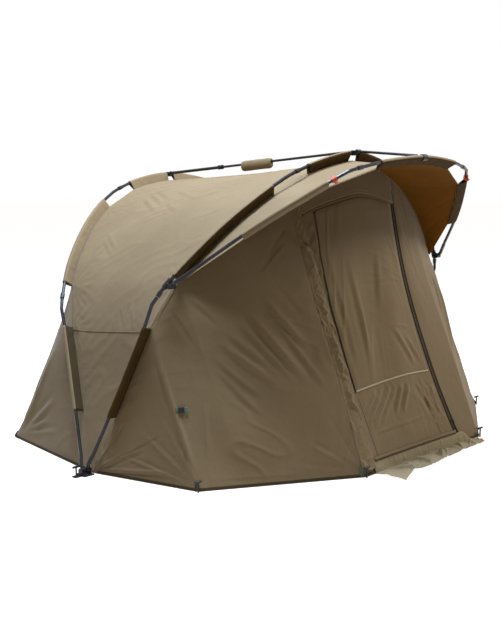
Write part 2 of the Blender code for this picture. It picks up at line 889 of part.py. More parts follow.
def door_grid(front, columns=9):
    """Rows of points over the doorway, from its top to its foot."""
    top = door_top(front)
    foot = front.drop_at(0.5, DOOR_FOOT_HEIGHT)
    rows = []
    for row_share in DOOR_ROW_SHARES:
        drop = top + (foot - top) * row_share
        left = front.share_at(-DOOR_LEFT + DOOR_GAP, drop)
        right = front.share_at(door_right(drop) - DOOR_GAP, drop)
        step = (right - left) / (columns - 1)
        rows.append([front.at(left + step * c, drop) for c in range(columns)])
    return rows


def door_crease(c, r):
    return DOOR_FOLD * calm_edges(c, r) * ripple(c, r, 2, 0.7)


def door_and_window(front, cloth, clear, parent):
    rows = pushed(door_grid(front), door_crease)
    sheet("door_panel", rows, cloth, parent)
    stand_off = CLOTH + WINDOW_STAND_OFF
    cover = pushed(rows, lambda c, r: -stand_off)
    cover = [row[:-1] for row in cover if row[0].z > WINDOW_FOOT_HEIGHT][1:]
    sheet("window_cover", cover, clear, parent)


def skirt(front, look, parent):
    """The doorway's sill and the loose flap that lies on the ground before it."""
    count = len(SKIRT_EDGE_SHARES)
    left, right = [front.share_at(x, 1) for x in (-SKIRT_HALF_WIDTH, SKIRT_HALF_WIDTH)]
    rest = SKIRT_THICKNESS / 2 + HEM_LIFT / 4
    rows = [[], [], [], [], []]
    for index, edge_share in enumerate(SKIRT_EDGE_SHARES):
        share = left + (right - left) * index / (count - 1)
        drop = front.drop_at(share, DOOR_FOOT_HEIGHT - 2 * DOOR_GAP)
        sill = front.at(share, drop) + front.outward(share, drop) * SKIRT_STAND_OFF
        foot = front.foot(share)
        hem = Vector((foot.x, foot.y - SKIRT_STAND_OFF, rest))
        wave = SKIRT_WAVE * (1 + math.sin(index * 2.3)) / 2
        rows[0].append(sill)
        rows[1].append(hem)
        for row, out, lift in ((2, 0.35, 0.4), (3, 0.7, 1.0), (4, 1.0, 0.35)):
            point = hem + FORWARD * (SKIRT_REACH - SKIRT_STAND_OFF) * edge_share * out
            point.z = rest + wave * lift
            rows[row].append(point)
    return sheet("mud_skirt", rows, look, parent, SKIRT_THICKNESS)


# Hardware


def pivot_block(side, hand, look, pin_look):
    """A foot that holds the pin of both legs on one side, with a lug for its peg."""
    rear_x = side * REAR_HALF_SPAN
    mid_x = side * MID_HALF_SPAN
    outer = abs(rear_x) + KNUCKLE_WIDTH / 2 + SIDE_GAP
    inner = abs(mid_x) - KNUCKLE_WIDTH / 2 - SIDE_GAP
    wide = outer - inner + 2 * BLOCK_EAR_THICKNESS
    centre = side * (outer + inner) / 2
    plate = block_mesh("plate", (wide, BLOCK_PLATE_DEPTH, BLOCK_PLATE_THICKNESS))
    half_plate = BLOCK_PLATE_THICKNESS / 2
    origin = Vector((centre, PIVOT_Y, half_plate))
    obj = add(f"pivot_block_{hand}", plate, look, Matrix.Translation(origin), None)
    lug_centre = side * (outer + BLOCK_EAR_THICKNESS + BLOCK_LUG_LENGTH / 2)
    lug = (BLOCK_LUG_LENGTH + CUT_OVERRUN, BLOCK_LUG_WIDTH, BLOCK_PLATE_THICKNESS)
    lug_at = Vector((lug_centre - side * CUT_OVERRUN / 2, PIVOT_Y, half_plate))
    join(obj, block_mesh("lug", lug), Matrix.Translation(lug_at))
    for x in (outer + BLOCK_EAR_THICKNESS / 2, inner - BLOCK_EAR_THICKNESS / 2):
        post = (BLOCK_EAR_THICKNESS, 2 * BLOCK_EAR_RADIUS, PIVOT_HEIGHT - half_plate)
        post_at = Vector((side * x, PIVOT_Y, half_plate + post[2] / 2))
        join(obj, block_mesh("post", post), Matrix.Translation(post_at))
        ear_at = along(Vector((side * x, PIVOT_Y, PIVOT_HEIGHT)), ACROSS, UP)
        join(obj, rod_mesh("ear", BLOCK_EAR_RADIUS, BLOCK_EAR_THICKNESS, 20), ear_at)
    pin_at = along(Vector((centre, PIVOT_Y, PIVOT_HEIGHT)), ACROSS, UP)
    join(obj, rod_mesh("pin", PIN_RADIUS, wide, 16), pin_at)
    hole = PEG_RADIUS + PEG_GAP
    hole_at = Vector((peg_lug_x(side), PIVOT_Y, half_plate))
    hole_depth = BLOCK_PLATE_THICKNESS + CUT_OVERRUN
    cut(obj, rod_mesh("peg_hole", hole, hole_depth, 16), Matrix.Translation(hole_at))
    return obj


def peg_lug_x(side):
    outer = REAR_HALF_SPAN + KNUCKLE_WIDTH / 2 + SIDE_GAP + BLOCK_EAR_THICKNESS
    return side * (outer + BLOCK_LUG_LENGTH - BLOCK_LUG_WIDTH / 2)


def peg(name, x, y, look):
    """A T peg, driven in up to its neck: what shows above the ground."""
    obj = add(
        name,
        rod_mesh(name, PEG_RADIUS, PEG_HEIGHT, 12),
        look,
        Matrix.Translation((x, y, PEG_HEIGHT / 2)),
        None,
    )
    bar_at = along(Vector((x, y, PEG_HEIGHT)), ACROSS, UP)
    join(obj, rod_mesh("bar", PEG_BAR_RADIUS, PEG_BAR_LENGTH, 12), bar_at)
    return obj


def hub(mid, side, hand, look, parent):
    """The joint on the middle rib that the hood rib turns on."""
    middle = place(mid, HUB_SHARE, side)
    run = mid.run(half_share(HUB_SHARE, side)) * -side
    barrel = along(middle, run)
    obj = add(
        f"hub_{hand}", rod_mesh("hub", HUB_RADIUS, HUB_LENGTH, 20), look, barrel, parent
    )
    pin_at = hub_pin(mid, side)
    forward = (pin_at - middle).normalized()
    apart = KNUCKLE_WIDTH / 2 + SIDE_GAP + HUB_EAR_THICKNESS / 2
    for x in (-apart, apart):
        ear = along(pin_at + ACROSS * x, ACROSS, UP)
        join(obj, rod_mesh("ear", HUB_EAR_RADIUS, HUB_EAR_THICKNESS, 20), ear)
        arm = (HUB_EAR_THICKNESS - 2 * SIDE_GAP, HUB_ARM_DEPTH, HUB_REACH)
        arm_at = along(middle + forward * HUB_REACH / 2 + ACROSS * x, forward)
        join(obj, block_mesh("arm", arm), arm_at)
    wide = 2 * apart + HUB_EAR_THICKNESS / 2
    join(obj, rod_mesh("pin", PIN_RADIUS, wide, 16), along(pin_at, ACROSS, UP))
    bore = POLE_RADIUS + RUNNING_GAP
    length = HUB_LENGTH + CUT_OVERRUN
    cut(obj, rod_mesh("bore", bore, length, 20), barrel)
    return obj


def hub_pin(mid, side):
    """The pin's centre, ahead of the middle rib's tube."""
    local = mid.at(half_share(HUB_SHARE, side)).copy()
    local.z = HUB_REACH
    return mid.frame @ local


def crown(arch):
    return arch.frame @ arch.at(0.5)


def clamp(name, arch, look, parent, radius=CLAMP_RADIUS):
    ring = along(crown(arch), ACROSS, UP)
    return add(name, rod_mesh(name, radius, CLAMP_LENGTH, 20), look, ring, parent)


def bore_clamp(obj, arch, bore=POLE_RADIUS + 2 * RUNNING_GAP):
    length = CLAMP_LENGTH + CUT_OVERRUN
    ring = along(crown(arch), ACROSS, UP)
    cut(obj, rod_mesh("pole_bore", bore, length, 20), ring)


def web_slot(obj, arch):
    """Opens a clamp on its inner side, where a sleeve's web comes out."""
    slot = (SLEEVE_CLAMP_SLOT, SLEEVE_CLAMP_RADIUS, CLAMP_LENGTH + CUT_OVERRUN)
    inward = arch.turn @ Vector((0, -1, 0))
    frame = along(crown(arch) + inward * SLEEVE_CLAMP_RADIUS, ACROSS, arch.turn @ UP)
    cut(obj, block_mesh("web_slot", slot), frame)


def bar_pin(arch):
    """Where a tension bar is pinned, ahead of a crown and a little above it."""
    return crown(arch) + FORWARD * BAR_PIN_REACH + UP * BAR_PIN_LIFT


def bar_fork(obj, arch):
    """Two ears and the pin that a tension bar swings on."""
    pin_at = bar_pin(arch)
    middle = crown(arch)
    reach = pin_at - middle
    apart = BAR_KNUCKLE_WIDTH / 2 + SIDE_GAP + BRACKET_EAR_THICKNESS / 2
    for x in (-apart, apart):
        ear = along(pin_at + ACROSS * x, ACROSS, UP)
        join(obj, rod_mesh("fork_ear", BRACKET_EAR_RADIUS, BRACKET_EAR_THICKNESS, 20), ear)
        arm = (BRACKET_EAR_THICKNESS, 1.6 * BRACKET_EAR_RADIUS, reach.length)
        arm_at = along(middle + reach / 2 + ACROSS * x, reach)
        join(obj, block_mesh("fork_arm", arm), arm_at)
    wide = 2 * apart + BRACKET_EAR_THICKNESS
    join(obj, rod_mesh("fork_pin", PIN_RADIUS, wide, 16), along(pin_at, ACROSS, UP))


def saddle(obj, arch, bar_line, tip):
    """A trough, open above, that the free end of a tension bar lies in."""
    start, run = bar_line
    middle = crown(arch)
    tail = tip - run * SADDLE_TAIL
    length = (middle - tail).dot(run)
    floor_top = BAR_INNER_RADIUS + RUNNING_GAP
    centre = tail + run * length / 2
    square = along(centre, run)
    wide = 2 * (BAR_INNER_RADIUS + 2 * RUNNING_GAP + SADDLE_WALL)
    deep = SADDLE_WALL + floor_top
    trough = block_mesh("trough", (wide, deep, length))
    above = bar_up(run)
    join(obj, trough, square_at(square, centre - above * deep / 2))
    slot_wide = 2 * (BAR_INNER_RADIUS + 2 * RUNNING_GAP)
    slot = block_mesh("slot", (slot_wide, floor_top + CUT_OVERRUN, length + CUT_OVERRUN))
    slot_at = centre + above * (CUT_OVERRUN - floor_top) / 2
    cut(obj, slot, square_at(square, slot_at - run * (CLAMP_RADIUS + CUT_OVERRUN / 2)))


def bar_up(run):
    return ACROSS.cross(run).normalized() * -1


def square_at(frame, point):
    moved = frame.copy()
    moved.translation = point
    return moved


def bar_run(start_arch, end_arch):
    """A tension bar's start, the way it runs and the distance to the next crown's tube."""
    start = bar_pin(start_arch)
    end = crown(end_arch) + UP * BAR_PIN_LIFT
    return start, (end - start).normalized(), (end - start).length


def rear_bar(rear, mid, look, outer_empty, inner_empty):
    """Two telescoping tubes: the outer turns on its pin and the inner slides in it."""
    start, run, reach = bar_run(rear, mid)
    mouth = start + run * REAR_BAR_OUTER_LENGTH
    rod = rod_mesh("rear_bar_outer", BAR_RADIUS, REAR_BAR_OUTER_LENGTH, 12)
    rod_at = along(start + run * REAR_BAR_OUTER_LENGTH / 2, run)
    outer = add("rear_bar_outer", rod, look, rod_at, outer_empty)
    collar_at = along(mouth - run * BAR_COLLAR_LENGTH / 2, run)
    join(outer, rod_mesh("collar", BAR_COLLAR_RADIUS, BAR_COLLAR_LENGTH, 16), collar_at)
    depth = BAR_OVERLAP + REAR_BAR_STROKE + BAR_COLLAR_LENGTH / 3
    bore = BAR_INNER_RADIUS + RUNNING_GAP
    bore_at = along(mouth - run * (depth - CUT_OVERRUN) / 2, run)
    cut(outer, rod_mesh("slide_bore", bore, depth + CUT_OVERRUN, 12), bore_at)
    eye = along(start, ACROSS, UP)
    knuckle(outer, eye, BAR_KNUCKLE_RADIUS, BAR_KNUCKLE_WIDTH, PIN_RADIUS)
    near = REAR_BAR_OUTER_LENGTH - BAR_OVERLAP
    far = reach - REAR_BAR_TIP_GAP
    inner = rod_mesh("rear_bar_inner", BAR_INNER_RADIUS, far - near, 12)
    inner_at = along(start + run * (near + far) / 2, run)
    add("rear_bar_inner", inner, look, inner_at, inner_empty)
    return start, run, start + run * far


def front_bar(mid, hood, look, empty):
    """One tube, pinned at the middle crown, whose free end rests in the hood's saddle."""
    start, run, reach = bar_run(mid, hood)
    far = reach - FRONT_BAR_TIP_GAP
    rod = rod_mesh("front_bar", BAR_INNER_RADIUS, far, 12)
    bar = add("front_bar", rod, look, along(start + run * far / 2, run), empty)
    eye = along(start, ACROSS, UP)
    knuckle(bar, eye, BAR_KNUCKLE_RADIUS, BAR_KNUCKLE_WIDTH, PIN_RADIUS)
    return start, run, start + run * far


def bar_pad(start, run, look, parent):
    """A padded wrap round the rear tension bar, which hangs down to the roof."""
    centre = start + run * (PAD_START + PAD_LENGTH / 2)
    frame = along(centre, run)
    high = PAD_RISE + PAD_DROP
    pad = block_mesh("bar_pad", (2 * PAD_HALF_WIDTH, high, PAD_LENGTH), PAD_HALF_WIDTH / 2)
    pad_at = square_at(frame, centre - bar_up(run) * (PAD_DROP - PAD_RISE) / 2)
    obj = add("bar_pad", pad, look, pad_at, parent)
    bore = BAR_INNER_RADIUS + RUNNING_GAP
    cut(obj, rod_mesh("bar_bore", bore, PAD_LENGTH + CUT_OVERRUN, 12), frame)
    return obj


def hood_clip(hood, side, hand, look, parent):
    """A clip on the hood rib at the top of its side sleeve, with a round cap."""
    share = half_share(HOOD_CLIP_SHARE, side)
    centre = hood.frame @ hood.at(share)
    run = hood.run(share)
    body = along(centre, run)
    obj = add(f"hood_clip_{hand}", rod_mesh("clip", CLIP_RADIUS, CLIP_LENGTH, 16), look, body, parent)
    ahead = hood.turn @ UP
    reach = CLIP_RADIUS + CLIP_CAP_LENGTH / 2
    cap_at = along(centre + ahead * reach, ahead)
    cap_length = CLIP_CAP_LENGTH + CUT_OVERRUN
    join(obj, rod_mesh("cap", CLIP_CAP_RADIUS, cap_length, 16), cap_at)
    bore = POLE_RADIUS + CLIP_EASE
    cut(obj, rod_mesh("bore", bore, CLIP_LENGTH + CUT_OVERRUN, 16), body)
    return obj


def zip_slider(front, side, hand, look, parent):
    """A slider on the zip beside the doorway, with its pull hanging from it."""
    drop = front.drop_at(0.5, SLIDER_HEIGHT)
    share = zip_share(front, side, drop)
    point = front.at(share, drop)
    run = zip_run(front, side, drop)
    out = front.outward(share, drop)
    lift = CLOTH / 2 + SLIDER_GAP + SLIDER_THICKNESS / 2
    frame = along(point + out * lift, run, run.cross(out))
    body = block_mesh("slider", (SLIDER_WIDTH, SLIDER_THICKNESS, SLIDER_LENGTH), SLIDER_THICKNESS / 4)
    obj = add(f"zip_slider_{hand}", body, look, frame, parent)
    hang = point + out * lift - run * (SLIDER_LENGTH + PULL_LENGTH) / 2
    hang += run * CUT_OVERRUN
    pull = block_mesh("pull", (PULL_WIDTH, PULL_THICKNESS, PULL_LENGTH + CUT_OVERRUN))
    join(obj, pull, square_at(frame, hang))
    return obj


def zip_share(front, side, drop):
    """Where the zip beside the doorway is, this far down the wall."""
    if side < 0:
        return front.share_at(-DOOR_LEFT - SLIDER_INSET, drop)
    return front.share_at(door_right(drop) + SLIDER_INSET, drop)


def zip_point(front, side, drop):
    return front.at(zip_share(front, side, drop), drop)


def zip_run(front, side, drop):
    """The way up the zip at a place on it."""
    small = ZIP_LOOK_SHARE
    above = zip_point(front, side, drop - small)
    return (above - zip_point(front, side, drop + small)).normalized()


def zip_centre(front):
    """The centre and the axis of the arc that the right-hand zip is bowed to."""
    start, end = front.drop_at(0.5, SLIDER_HEIGHT), door_top(front)
    drops = (start, start + (end - start) * ZIP_TURN_SHARE, end)
    low, middle, high = [zip_point(front, 1, drop) for drop in drops]
    first, second = middle - low, high - low
    normal = first.cross(second)
    offset = second.cross(normal) * first.length_squared
    offset += normal.cross(first) * second.length_squared
    centre = low + offset / (2 * normal.length_squared)
    return centre, (low - centre).cross(middle - centre).normalized()


# The tent


def rib_poles(prefix, arch, splits, look, parent):
    """Two legs, two shoulders and a crown tube, butted inside ferrules."""
    gap = TUBE_GAP / arch.length
    low, high = splits
    for side, hand in SIDES:
        ends = (True, False) if side < 0 else (False, True)
        points = from_foot(arch, 0, low - gap, side)
        name = f"{prefix}_rib_leg_{hand}"
        leg = tube(name, [(point, 1.0) for point in kneed(points)], look, arch.frame, parent)
        knuckle(leg, foot_eye(arch, side), KNUCKLE_RADIUS, KNUCKLE_WIDTH, PIN_RADIUS)
        points = from_foot(arch, low + gap, high - gap, side)
        name = f"{prefix}_rib_shoulder_{hand}"
        pole(name, points, look, arch.frame, parent, (True, False))
    points = arch.stretch(half_share(high + gap, -1), half_share(high + gap, 1))
    pole(f"{prefix}_rib_crown", points, look, arch.frame, parent, (True, True))


def from_foot(arch, low, high, side):
    """The line between two half shares, counted up from the foot on one side."""
    points = arch.stretch(*sorted((half_share(low, side), half_share(high, side))))
    return points if side < 0 else points[::-1]


def foot_eye(arch, side):
    return along(arch.frame @ arch.points[0 if side < 0 else -1], ACROSS, UP)


def hood_poles(hood, look, parent):
    gap = TUBE_GAP / hood.length
    swell = HOOD_ARM_RADIUS / POLE_RADIUS
    for side, hand in SIDES:
        points = kneed(from_foot(hood, 0, HOOD_SPLIT_SHARE - gap, side))
        foot = points[0]
        arm = ferruled([(point, 1.0) for point in points[1:]], swell, HOOD_ARM_LENGTH)
        line = [(foot, swell), *arm]
        name = f"hood_rib_side_{hand}"
        rod = tube(name, line, look, hood.frame, parent)
        knuckle(rod, foot_eye(hood, side), KNUCKLE_RADIUS, KNUCKLE_WIDTH, PIN_RADIUS)
    ends = (half_share(HOOD_SPLIT_SHARE + gap, -1), half_share(HOOD_SPLIT_SHARE + gap, 1))
    points = hood.stretch(*ends)
    pole("hood_rib_crown", points, look, hood.frame, parent, (True, True))


def build():
    clear_scene()
    bpy.context.scene.collection.children.link(parts)
    bpy.context.scene.collection.children.link(cutters)

    cloth = material("canopy_cloth", (0.36, 0.31, 0.22), 0.8)
    dark = material("sleeve_cloth", (0.13, 0.09, 0.05), 0.85)
    flap = material("skirt_cloth", (0.30, 0.27, 0.21), 0.85)
    clear = material("window_cloth", (0.30, 0.27, 0.20), 0.6)
    metal = material("pole_metal", (0.06, 0.06, 0.065), 0.35, 0.9)
    plastic = material("black_plastic", (0.02, 0.02, 0.022), 0.45)
    orange = material("clip_plastic", (0.62, 0.16, 0.08), 0.45)
    steel = material("peg_metal", (0.05, 0.05, 0.055), 0.4, 0.8)

    pins = Vector((0, PIVOT_Y, PIVOT_HEIGHT))
    rear_frame = turned(pins, math.pi / 2 - REAR_LEAN)
    mid_frame = turned(pins, math.pi / 2 + MID_LEAN)
    rear_sizes = (REAR_HALF_SPAN, REAR_RISE, REAR_ARCH_SHARES, ARCH_STEPS)
    rear = Arch(*rear_sizes, rear_frame, REAR_SLEEVE_SHARES)
    mid_sizes = (MID_HALF_SPAN, MID_RISE, MID_ARCH_SHARES, ARCH_STEPS)
    mid = Arch(*mid_sizes, mid_frame, MID_SLEEVE_SHARES)
    hinge = hub_pin(mid, 1)
    hood_frame = turned(Vector((0, hinge.y, hinge.z)), math.pi - HOOD_CLIMB)
    hood_sizes = (hinge.x, HOOD_RISE, HOOD_ARCH_SHARES, HOOD_STEPS)
    hood = Arch(*hood_sizes, hood_frame, HOOD_SLEEVE_SHARES)
    front = Front(mid)

    mid_pivot = pivot("middle_rib_pivot", mid_frame)
    hood_pivot = pivot("hood_pivot", hood_frame, mid_pivot)
    rear_bar_pivot = pivot("rear_bar_pivot", Matrix.Translation(bar_pin(rear)))
    rear_bar_slide = pivot("rear_bar_slide", Matrix.Translation(bar_pin(rear)), rear_bar_pivot)
    front_bar_pivot = pivot("front_bar_pivot", Matrix.Translation(bar_pin(mid)), mid_pivot)
    top_line = front.at(0.5, door_top(front))
    door_pivot = pivot("door_pivot", Matrix.Translation((0, top_line.y, top_line.z)), mid_pivot)

    for side, hand in SIDES:
        pivot_block(side, hand, plastic, metal)
        hub(mid, side, hand, plastic, mid_pivot)
        hood_clip(hood, side, hand, orange, hood_pivot)

    rib_poles("rear", rear, REAR_SPLIT_SHARES, metal, None)
    rib_poles("middle", mid, MID_SPLIT_SHARES, metal, mid_pivot)
    hood_poles(hood, metal, hood_pivot)

    outline = sleeve_outline("sleeve_outline")
    words = ("leg", "shoulder", "crown")
    rib_sleeves("rear", words, rear, outline, dark, None)
    rib_sleeves("middle", words, mid, outline, dark, mid_pivot)
    rib_sleeves("hood", ("side",), hood, outline, dark, hood_pivot)
    whole = half_share(HOOD_SLEEVE_SHARES[1][0], -1)
    sleeve("hood_crown_sleeve", hood, whole, 1 - whole, outline, dark, hood_pivot)

    rear_clamp = clamp("rear_crown_bracket", rear, plastic, None)
    bar_fork(rear_clamp, rear)
    bore_clamp(rear_clamp, rear)
    start, run, tip = rear_bar(rear, mid, metal, rear_bar_pivot, rear_bar_slide)
    bar_pad(start, run, flap, rear_bar_slide)
    mid_clamp = clamp("middle_crown_bracket", mid, plastic, mid_pivot)
    bar_fork(mid_clamp, mid)
    saddle(mid_clamp, mid, (start, run), tip)
    bore_clamp(mid_clamp, mid)
    start, run, tip = front_bar(mid, hood, metal, front_bar_pivot)
    hood_clamp = clamp("hood_crown_bracket", hood, plastic, hood_pivot, SLEEVE_CLAMP_RADIUS)
    saddle(hood_clamp, hood, (start, run), tip)
    bore_clamp(hood_clamp, hood, SLEEVE_CLAMP_RADIUS - SADDLE_WALL)
    web_slot(hood_clamp, hood)

    roof_panel(rear, mid, cloth)
    rear_wall(rear, cloth)
    hood_panel(mid, hood, cloth, hood_pivot)
    for side, hand in SIDES:
        wing(front, side, hand, cloth, mid_pivot)
    header_panel(front, cloth, mid_pivot)
    door_and_window(front, cloth, clear, door_pivot)
    skirt(front, flap, mid_pivot)

    drop = front.drop_at(0.5, SLIDER_HEIGHT)
    start, run = zip_point(front, -1, drop), zip_run(front, -1, drop)
    left_line = pivot("left_zip_line", along(start, run), mid_pivot)
    right_arc = pivot("right_zip_arc", along(*zip_centre(front)), mid_pivot)
    zip_slider(front, -1, "left", plastic, left_line)
    zip_slider(front, 1, "right", plastic, right_arc)

    for side, hand in SIDES:
        peg(f"block_peg_{hand}", peg_lug_x(side), PIVOT_Y, steel)
        off = PEG_RADIUS + CLOTH / 2 + PEG_GAP
        across, forward = SHOULDER_PEG_SHARES
        corner = ground(side * SHOULDER_PEG_HALF_WIDTH, -SHOULDER_PEG_FORWARD)
        x, y = corner.x + side * off * across, corner.y - off * forward
        peg(f"shoulder_peg_{hand}", x, y, steel)
        across, forward = DOOR_PEG_SHARES
        corner = ground(side * DOOR_PEG_HALF_WIDTH, -DOOR_PEG_FORWARD)
        x, y = corner.x + side * off * across, corner.y - off * forward
        peg(f"door_peg_{hand}", x, y, steel)


build()
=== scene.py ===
"""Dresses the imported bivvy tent: cloth, seams, zips, materials, light and camera.

Metres, +Z up, the doorway faces -Y, left is -X. The lines of the ribs repeat the model's own
values, so that every panel lies where its solid does.
"""

import json
import math

import bpy
import numpy as np
from mathutils import Matrix, Vector

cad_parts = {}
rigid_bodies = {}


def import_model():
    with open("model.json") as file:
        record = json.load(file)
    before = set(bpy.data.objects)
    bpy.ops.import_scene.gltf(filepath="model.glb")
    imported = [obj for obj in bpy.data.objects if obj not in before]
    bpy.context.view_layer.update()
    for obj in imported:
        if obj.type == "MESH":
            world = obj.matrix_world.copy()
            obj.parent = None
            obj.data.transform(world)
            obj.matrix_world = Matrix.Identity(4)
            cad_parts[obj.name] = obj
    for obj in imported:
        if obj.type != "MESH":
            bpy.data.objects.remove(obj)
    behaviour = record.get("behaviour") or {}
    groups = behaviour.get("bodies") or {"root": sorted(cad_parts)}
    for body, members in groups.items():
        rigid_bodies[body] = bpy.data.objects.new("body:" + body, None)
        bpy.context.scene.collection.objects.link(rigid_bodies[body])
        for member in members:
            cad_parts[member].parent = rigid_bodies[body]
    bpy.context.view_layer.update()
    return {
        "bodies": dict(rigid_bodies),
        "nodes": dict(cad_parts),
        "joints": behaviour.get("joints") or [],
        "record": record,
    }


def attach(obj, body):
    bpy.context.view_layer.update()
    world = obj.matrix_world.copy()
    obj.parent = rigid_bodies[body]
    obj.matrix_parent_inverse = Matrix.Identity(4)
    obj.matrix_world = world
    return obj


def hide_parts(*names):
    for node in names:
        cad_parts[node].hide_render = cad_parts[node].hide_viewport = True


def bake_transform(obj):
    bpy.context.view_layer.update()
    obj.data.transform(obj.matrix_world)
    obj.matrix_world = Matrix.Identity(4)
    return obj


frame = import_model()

# The ribs, as in the model's source
FRONT_REACH, REAR_REACH, PIVOT_HEIGHT = 1.100, 0.800, 0.022
REAR_HALF_SPAN, REAR_RISE, REAR_LEAN = 1.2757, 1.481, math.radians(31)
MID_HALF_SPAN, MID_RISE, MID_LEAN = 1.2533, 1.467, math.radians(20)
HOOD_RISE, HOOD_CLIMB = 0.783, math.radians(43.7)
PIVOT_Y = (FRONT_REACH - REAR_REACH) / 2
REAR_ARCH_SHARES = (
    (1, 0), (0.930, 0.206), (0.848, 0.453), (0.826, 0.526), (0.765, 0.612),
    (0.691, 0.696), (0.550, 0.817), (0.426, 0.895), (0.320, 0.943), (0.168, 0.981), (0, 1),
)
MID_ARCH_SHARES = (
    (1, 0), (0.946, 0.200), (0.889, 0.455), (0.878, 0.540), (0.836, 0.590), (0.742, 0.677),
    (0.622, 0.770), (0.494, 0.850), (0.343, 0.927), (0.254, 0.955), (0.120, 0.985), (0, 1),
)
HOOD_ARCH_SHARES = (
    (1, 0), (0.951, 0.115), (0.813, 0.390), (0.710, 0.560), (0.609, 0.702), (0.520, 0.820),
    (0.470, 0.882), (0.410, 0.918), (0.300, 0.955), (0.150, 0.986), (0, 1),
)
REAR_SLEEVES = ((0.133, 0.330), (0.443, 0.734), (0.850, 0.989))
MID_SLEEVES = ((0.121, 0.321), (0.446, 0.739), (0.847, 0.984))
HOOD_SLEEVES = ((0.262, 0.572), (0.782, 1.0))
HUB_SHARE, HUB_REACH = 0.426, 0.027
RIB_PIECES = (2, 3, 2, 5, 2, 3, 1)
HOOD_PIECES = (3, 4, 2, 4)
RIB_WINDOW, HOOD_WINDOW = 1 / 59, 1 / 37

# Where the cloth runs, as in the model's source
SLEEVE_WEB, SEAM_LAP = 0.046, 0.004
SEAM_STAND_OFF, WALL_STAND_OFF, HOOD_STAND_OFF = 0.0030, 0.0032, 0.0040
FRONT_DROP, FOOT_SPREAD, CLOSING_SHARE, CLOSED_SHARE = 0.0045, 0.0015, 0.35, 0.006
HEM_LIFT, CLOTH = 0.0012, 0.002
REAR_CORNER, BLOCK_HEM = (1.066, 0.778), (1.224, 0.006)
SHOULDER_PEG, DOOR_PEG = (1.118, 0.548), (0.478, 0.942)
GUSSET_SHARE, DOORPOST_SHARE, REAR_CORNER_SHARE = 0.318, 0.762, 0.345
DOOR_LEFT, DOOR_RIGHT_WAIST, DOOR_RIGHT_FLARE = 0.400, 0.212, 0.095
DOOR_TOP_DROP, DOOR_WAIST_SHARE, DOOR_TOP_SHARE = 0.150, 0.52, 0.11
DOOR_FOOT_HEIGHT, DOOR_GAP, WINDOW_FOOT_HEIGHT = 0.055, 0.0016, 0.341
SKIRT_HALF_WIDTH, SKIRT_STAND_OFF = 0.405, 0.0034
SKIRT_EDGE = (1.0, 0.8, 0.62, 0.66, 0.69, 0.63, 0.57, 0.54, 0.5, 0.48, 0.47, 0.47)
REAR_FOLD, WING_FOLD, DOOR_FOLD, ROOF_DIP = 0.010, 0.007, 0.005, 0.012

# The cloth as it is drawn here
WEAVE, THIN_CLOTH = 0.0012, 0.0012
INSET = SLEEVE_WEB - SEAM_LAP
POLE_RADIUS, SLEEVE_ROOM = 0.008, 0.0022
FINE, FINE_HOOD = 9, 14
SIDES = ((-1, "left"), (1, "right"))
UP = np.array([0, 0, 1])

# The sewn trim, and the line of painted shadow under the door's foot: width, height and lift of
# each kind
ROOF_SEAM, DOOR_SEAM = (0.0042, 0.0016, 0.0012), (0.0040, 0.0014, 0.0012)
HEADER_SEAM, HEADER_BINDING = (0.0045, 0.0010, 0.0013), (0.0075, 0.0008, 0.0010)
WINDOW_EDGE, WINDOW_FOOT = (0.0055, 0.0034, 0.0060), (0.0075, 0.0046, 0.0012)
ZIP_TEETH, ZIP_TAPE = (0.0029, 0.0029, 0), (0.015, 0.0005, 0.0013)
DOOR_FOOT_SHADOW, HEM_TAPE = (0.0034, 0.0022, 0.0012), (0.013, 0.0012, 0.0014)
RIB_WELT, HOOD_WELT, PEG_TAB = (0.0092, 0.0046, 0), (0.0074, 0.0040, 0), (0.020, 0.0018, 0.0030)
TIE_TAPE, TIE_BUCKLE = (0.022, 0.0018, 0.0030), (0.027, 0.0070, 0.0076)
TIE_END = (0.012, 0.0016, 0.0046)


# Small helpers for grids of points: arrays of rows, columns and three coordinates


def lerp(a, b, t):
    return a + (b - a) * t


def ease(t):
    t = np.clip(t, 0, 1)
    return t * t * (3 - 2 * t)


def unit(v):
    return v / np.maximum(np.linalg.norm(v, axis=-1, keepdims=True), 1e-9)


def along(at, run, line):
    """Points of a line, by how far along it they are; run says this of its own points."""
    return np.stack([np.interp(at, run, line[:, k]) for k in range(line.shape[1])], -1)


def facing(grid):
    """The unit normal at each point of a grid, across its columns and down its rows."""
    return unit(np.cross(np.gradient(grid, axis=1), np.gradient(grid, axis=0)))


def push(grid, height):
    return grid + facing(grid) * height[..., None]


def ruled(first, last, rows):
    """Straight lines from each point of one line to its own point of another."""
    return lerp(first[None], last[None], np.linspace(0, 1, rows + 1)[:, None, None])


def lengths(grid):
    """How far along its row and down its column each point of a grid lies, in metres."""
    across = np.linalg.norm(np.diff(grid, axis=1), axis=2)
    down = np.linalg.norm(np.diff(grid, axis=0), axis=2)
    u = np.concatenate([np.zeros((grid.shape[0], 1)), across.cumsum(1)], 1)
    v = np.concatenate([np.zeros((1, grid.shape[1])), down.cumsum(0)], 0)
    return u, v


def shares_of(grid):
    rows, cols = grid.shape[:2]
    return np.meshgrid(np.linspace(0, 1, cols), np.linspace(0, 1, rows))


def calm(c, r):
    """One in the middle of a panel and nothing at its four edges."""
    return np.sin(np.pi * np.clip(c, 0, 1)) ** 0.5 * np.sin(np.pi * np.clip(r, 0, 1))


def lattice(x, y, seed):
    """Smooth value noise between -1 and 1, the same for the same seed."""
    table = np.random.default_rng(seed).uniform(-1, 1, (64, 64))
    i, j = np.floor(x).astype(int), np.floor(y).astype(int)
    s, t = ease(x - i), ease(y - j)
    value = [[table[(i + a) % 64, (j + b) % 64] for b in (0, 1)] for a in (0, 1)]
    return lerp(lerp(value[0][0], value[1][0], s), lerp(value[0][1], value[1][1], s), t)


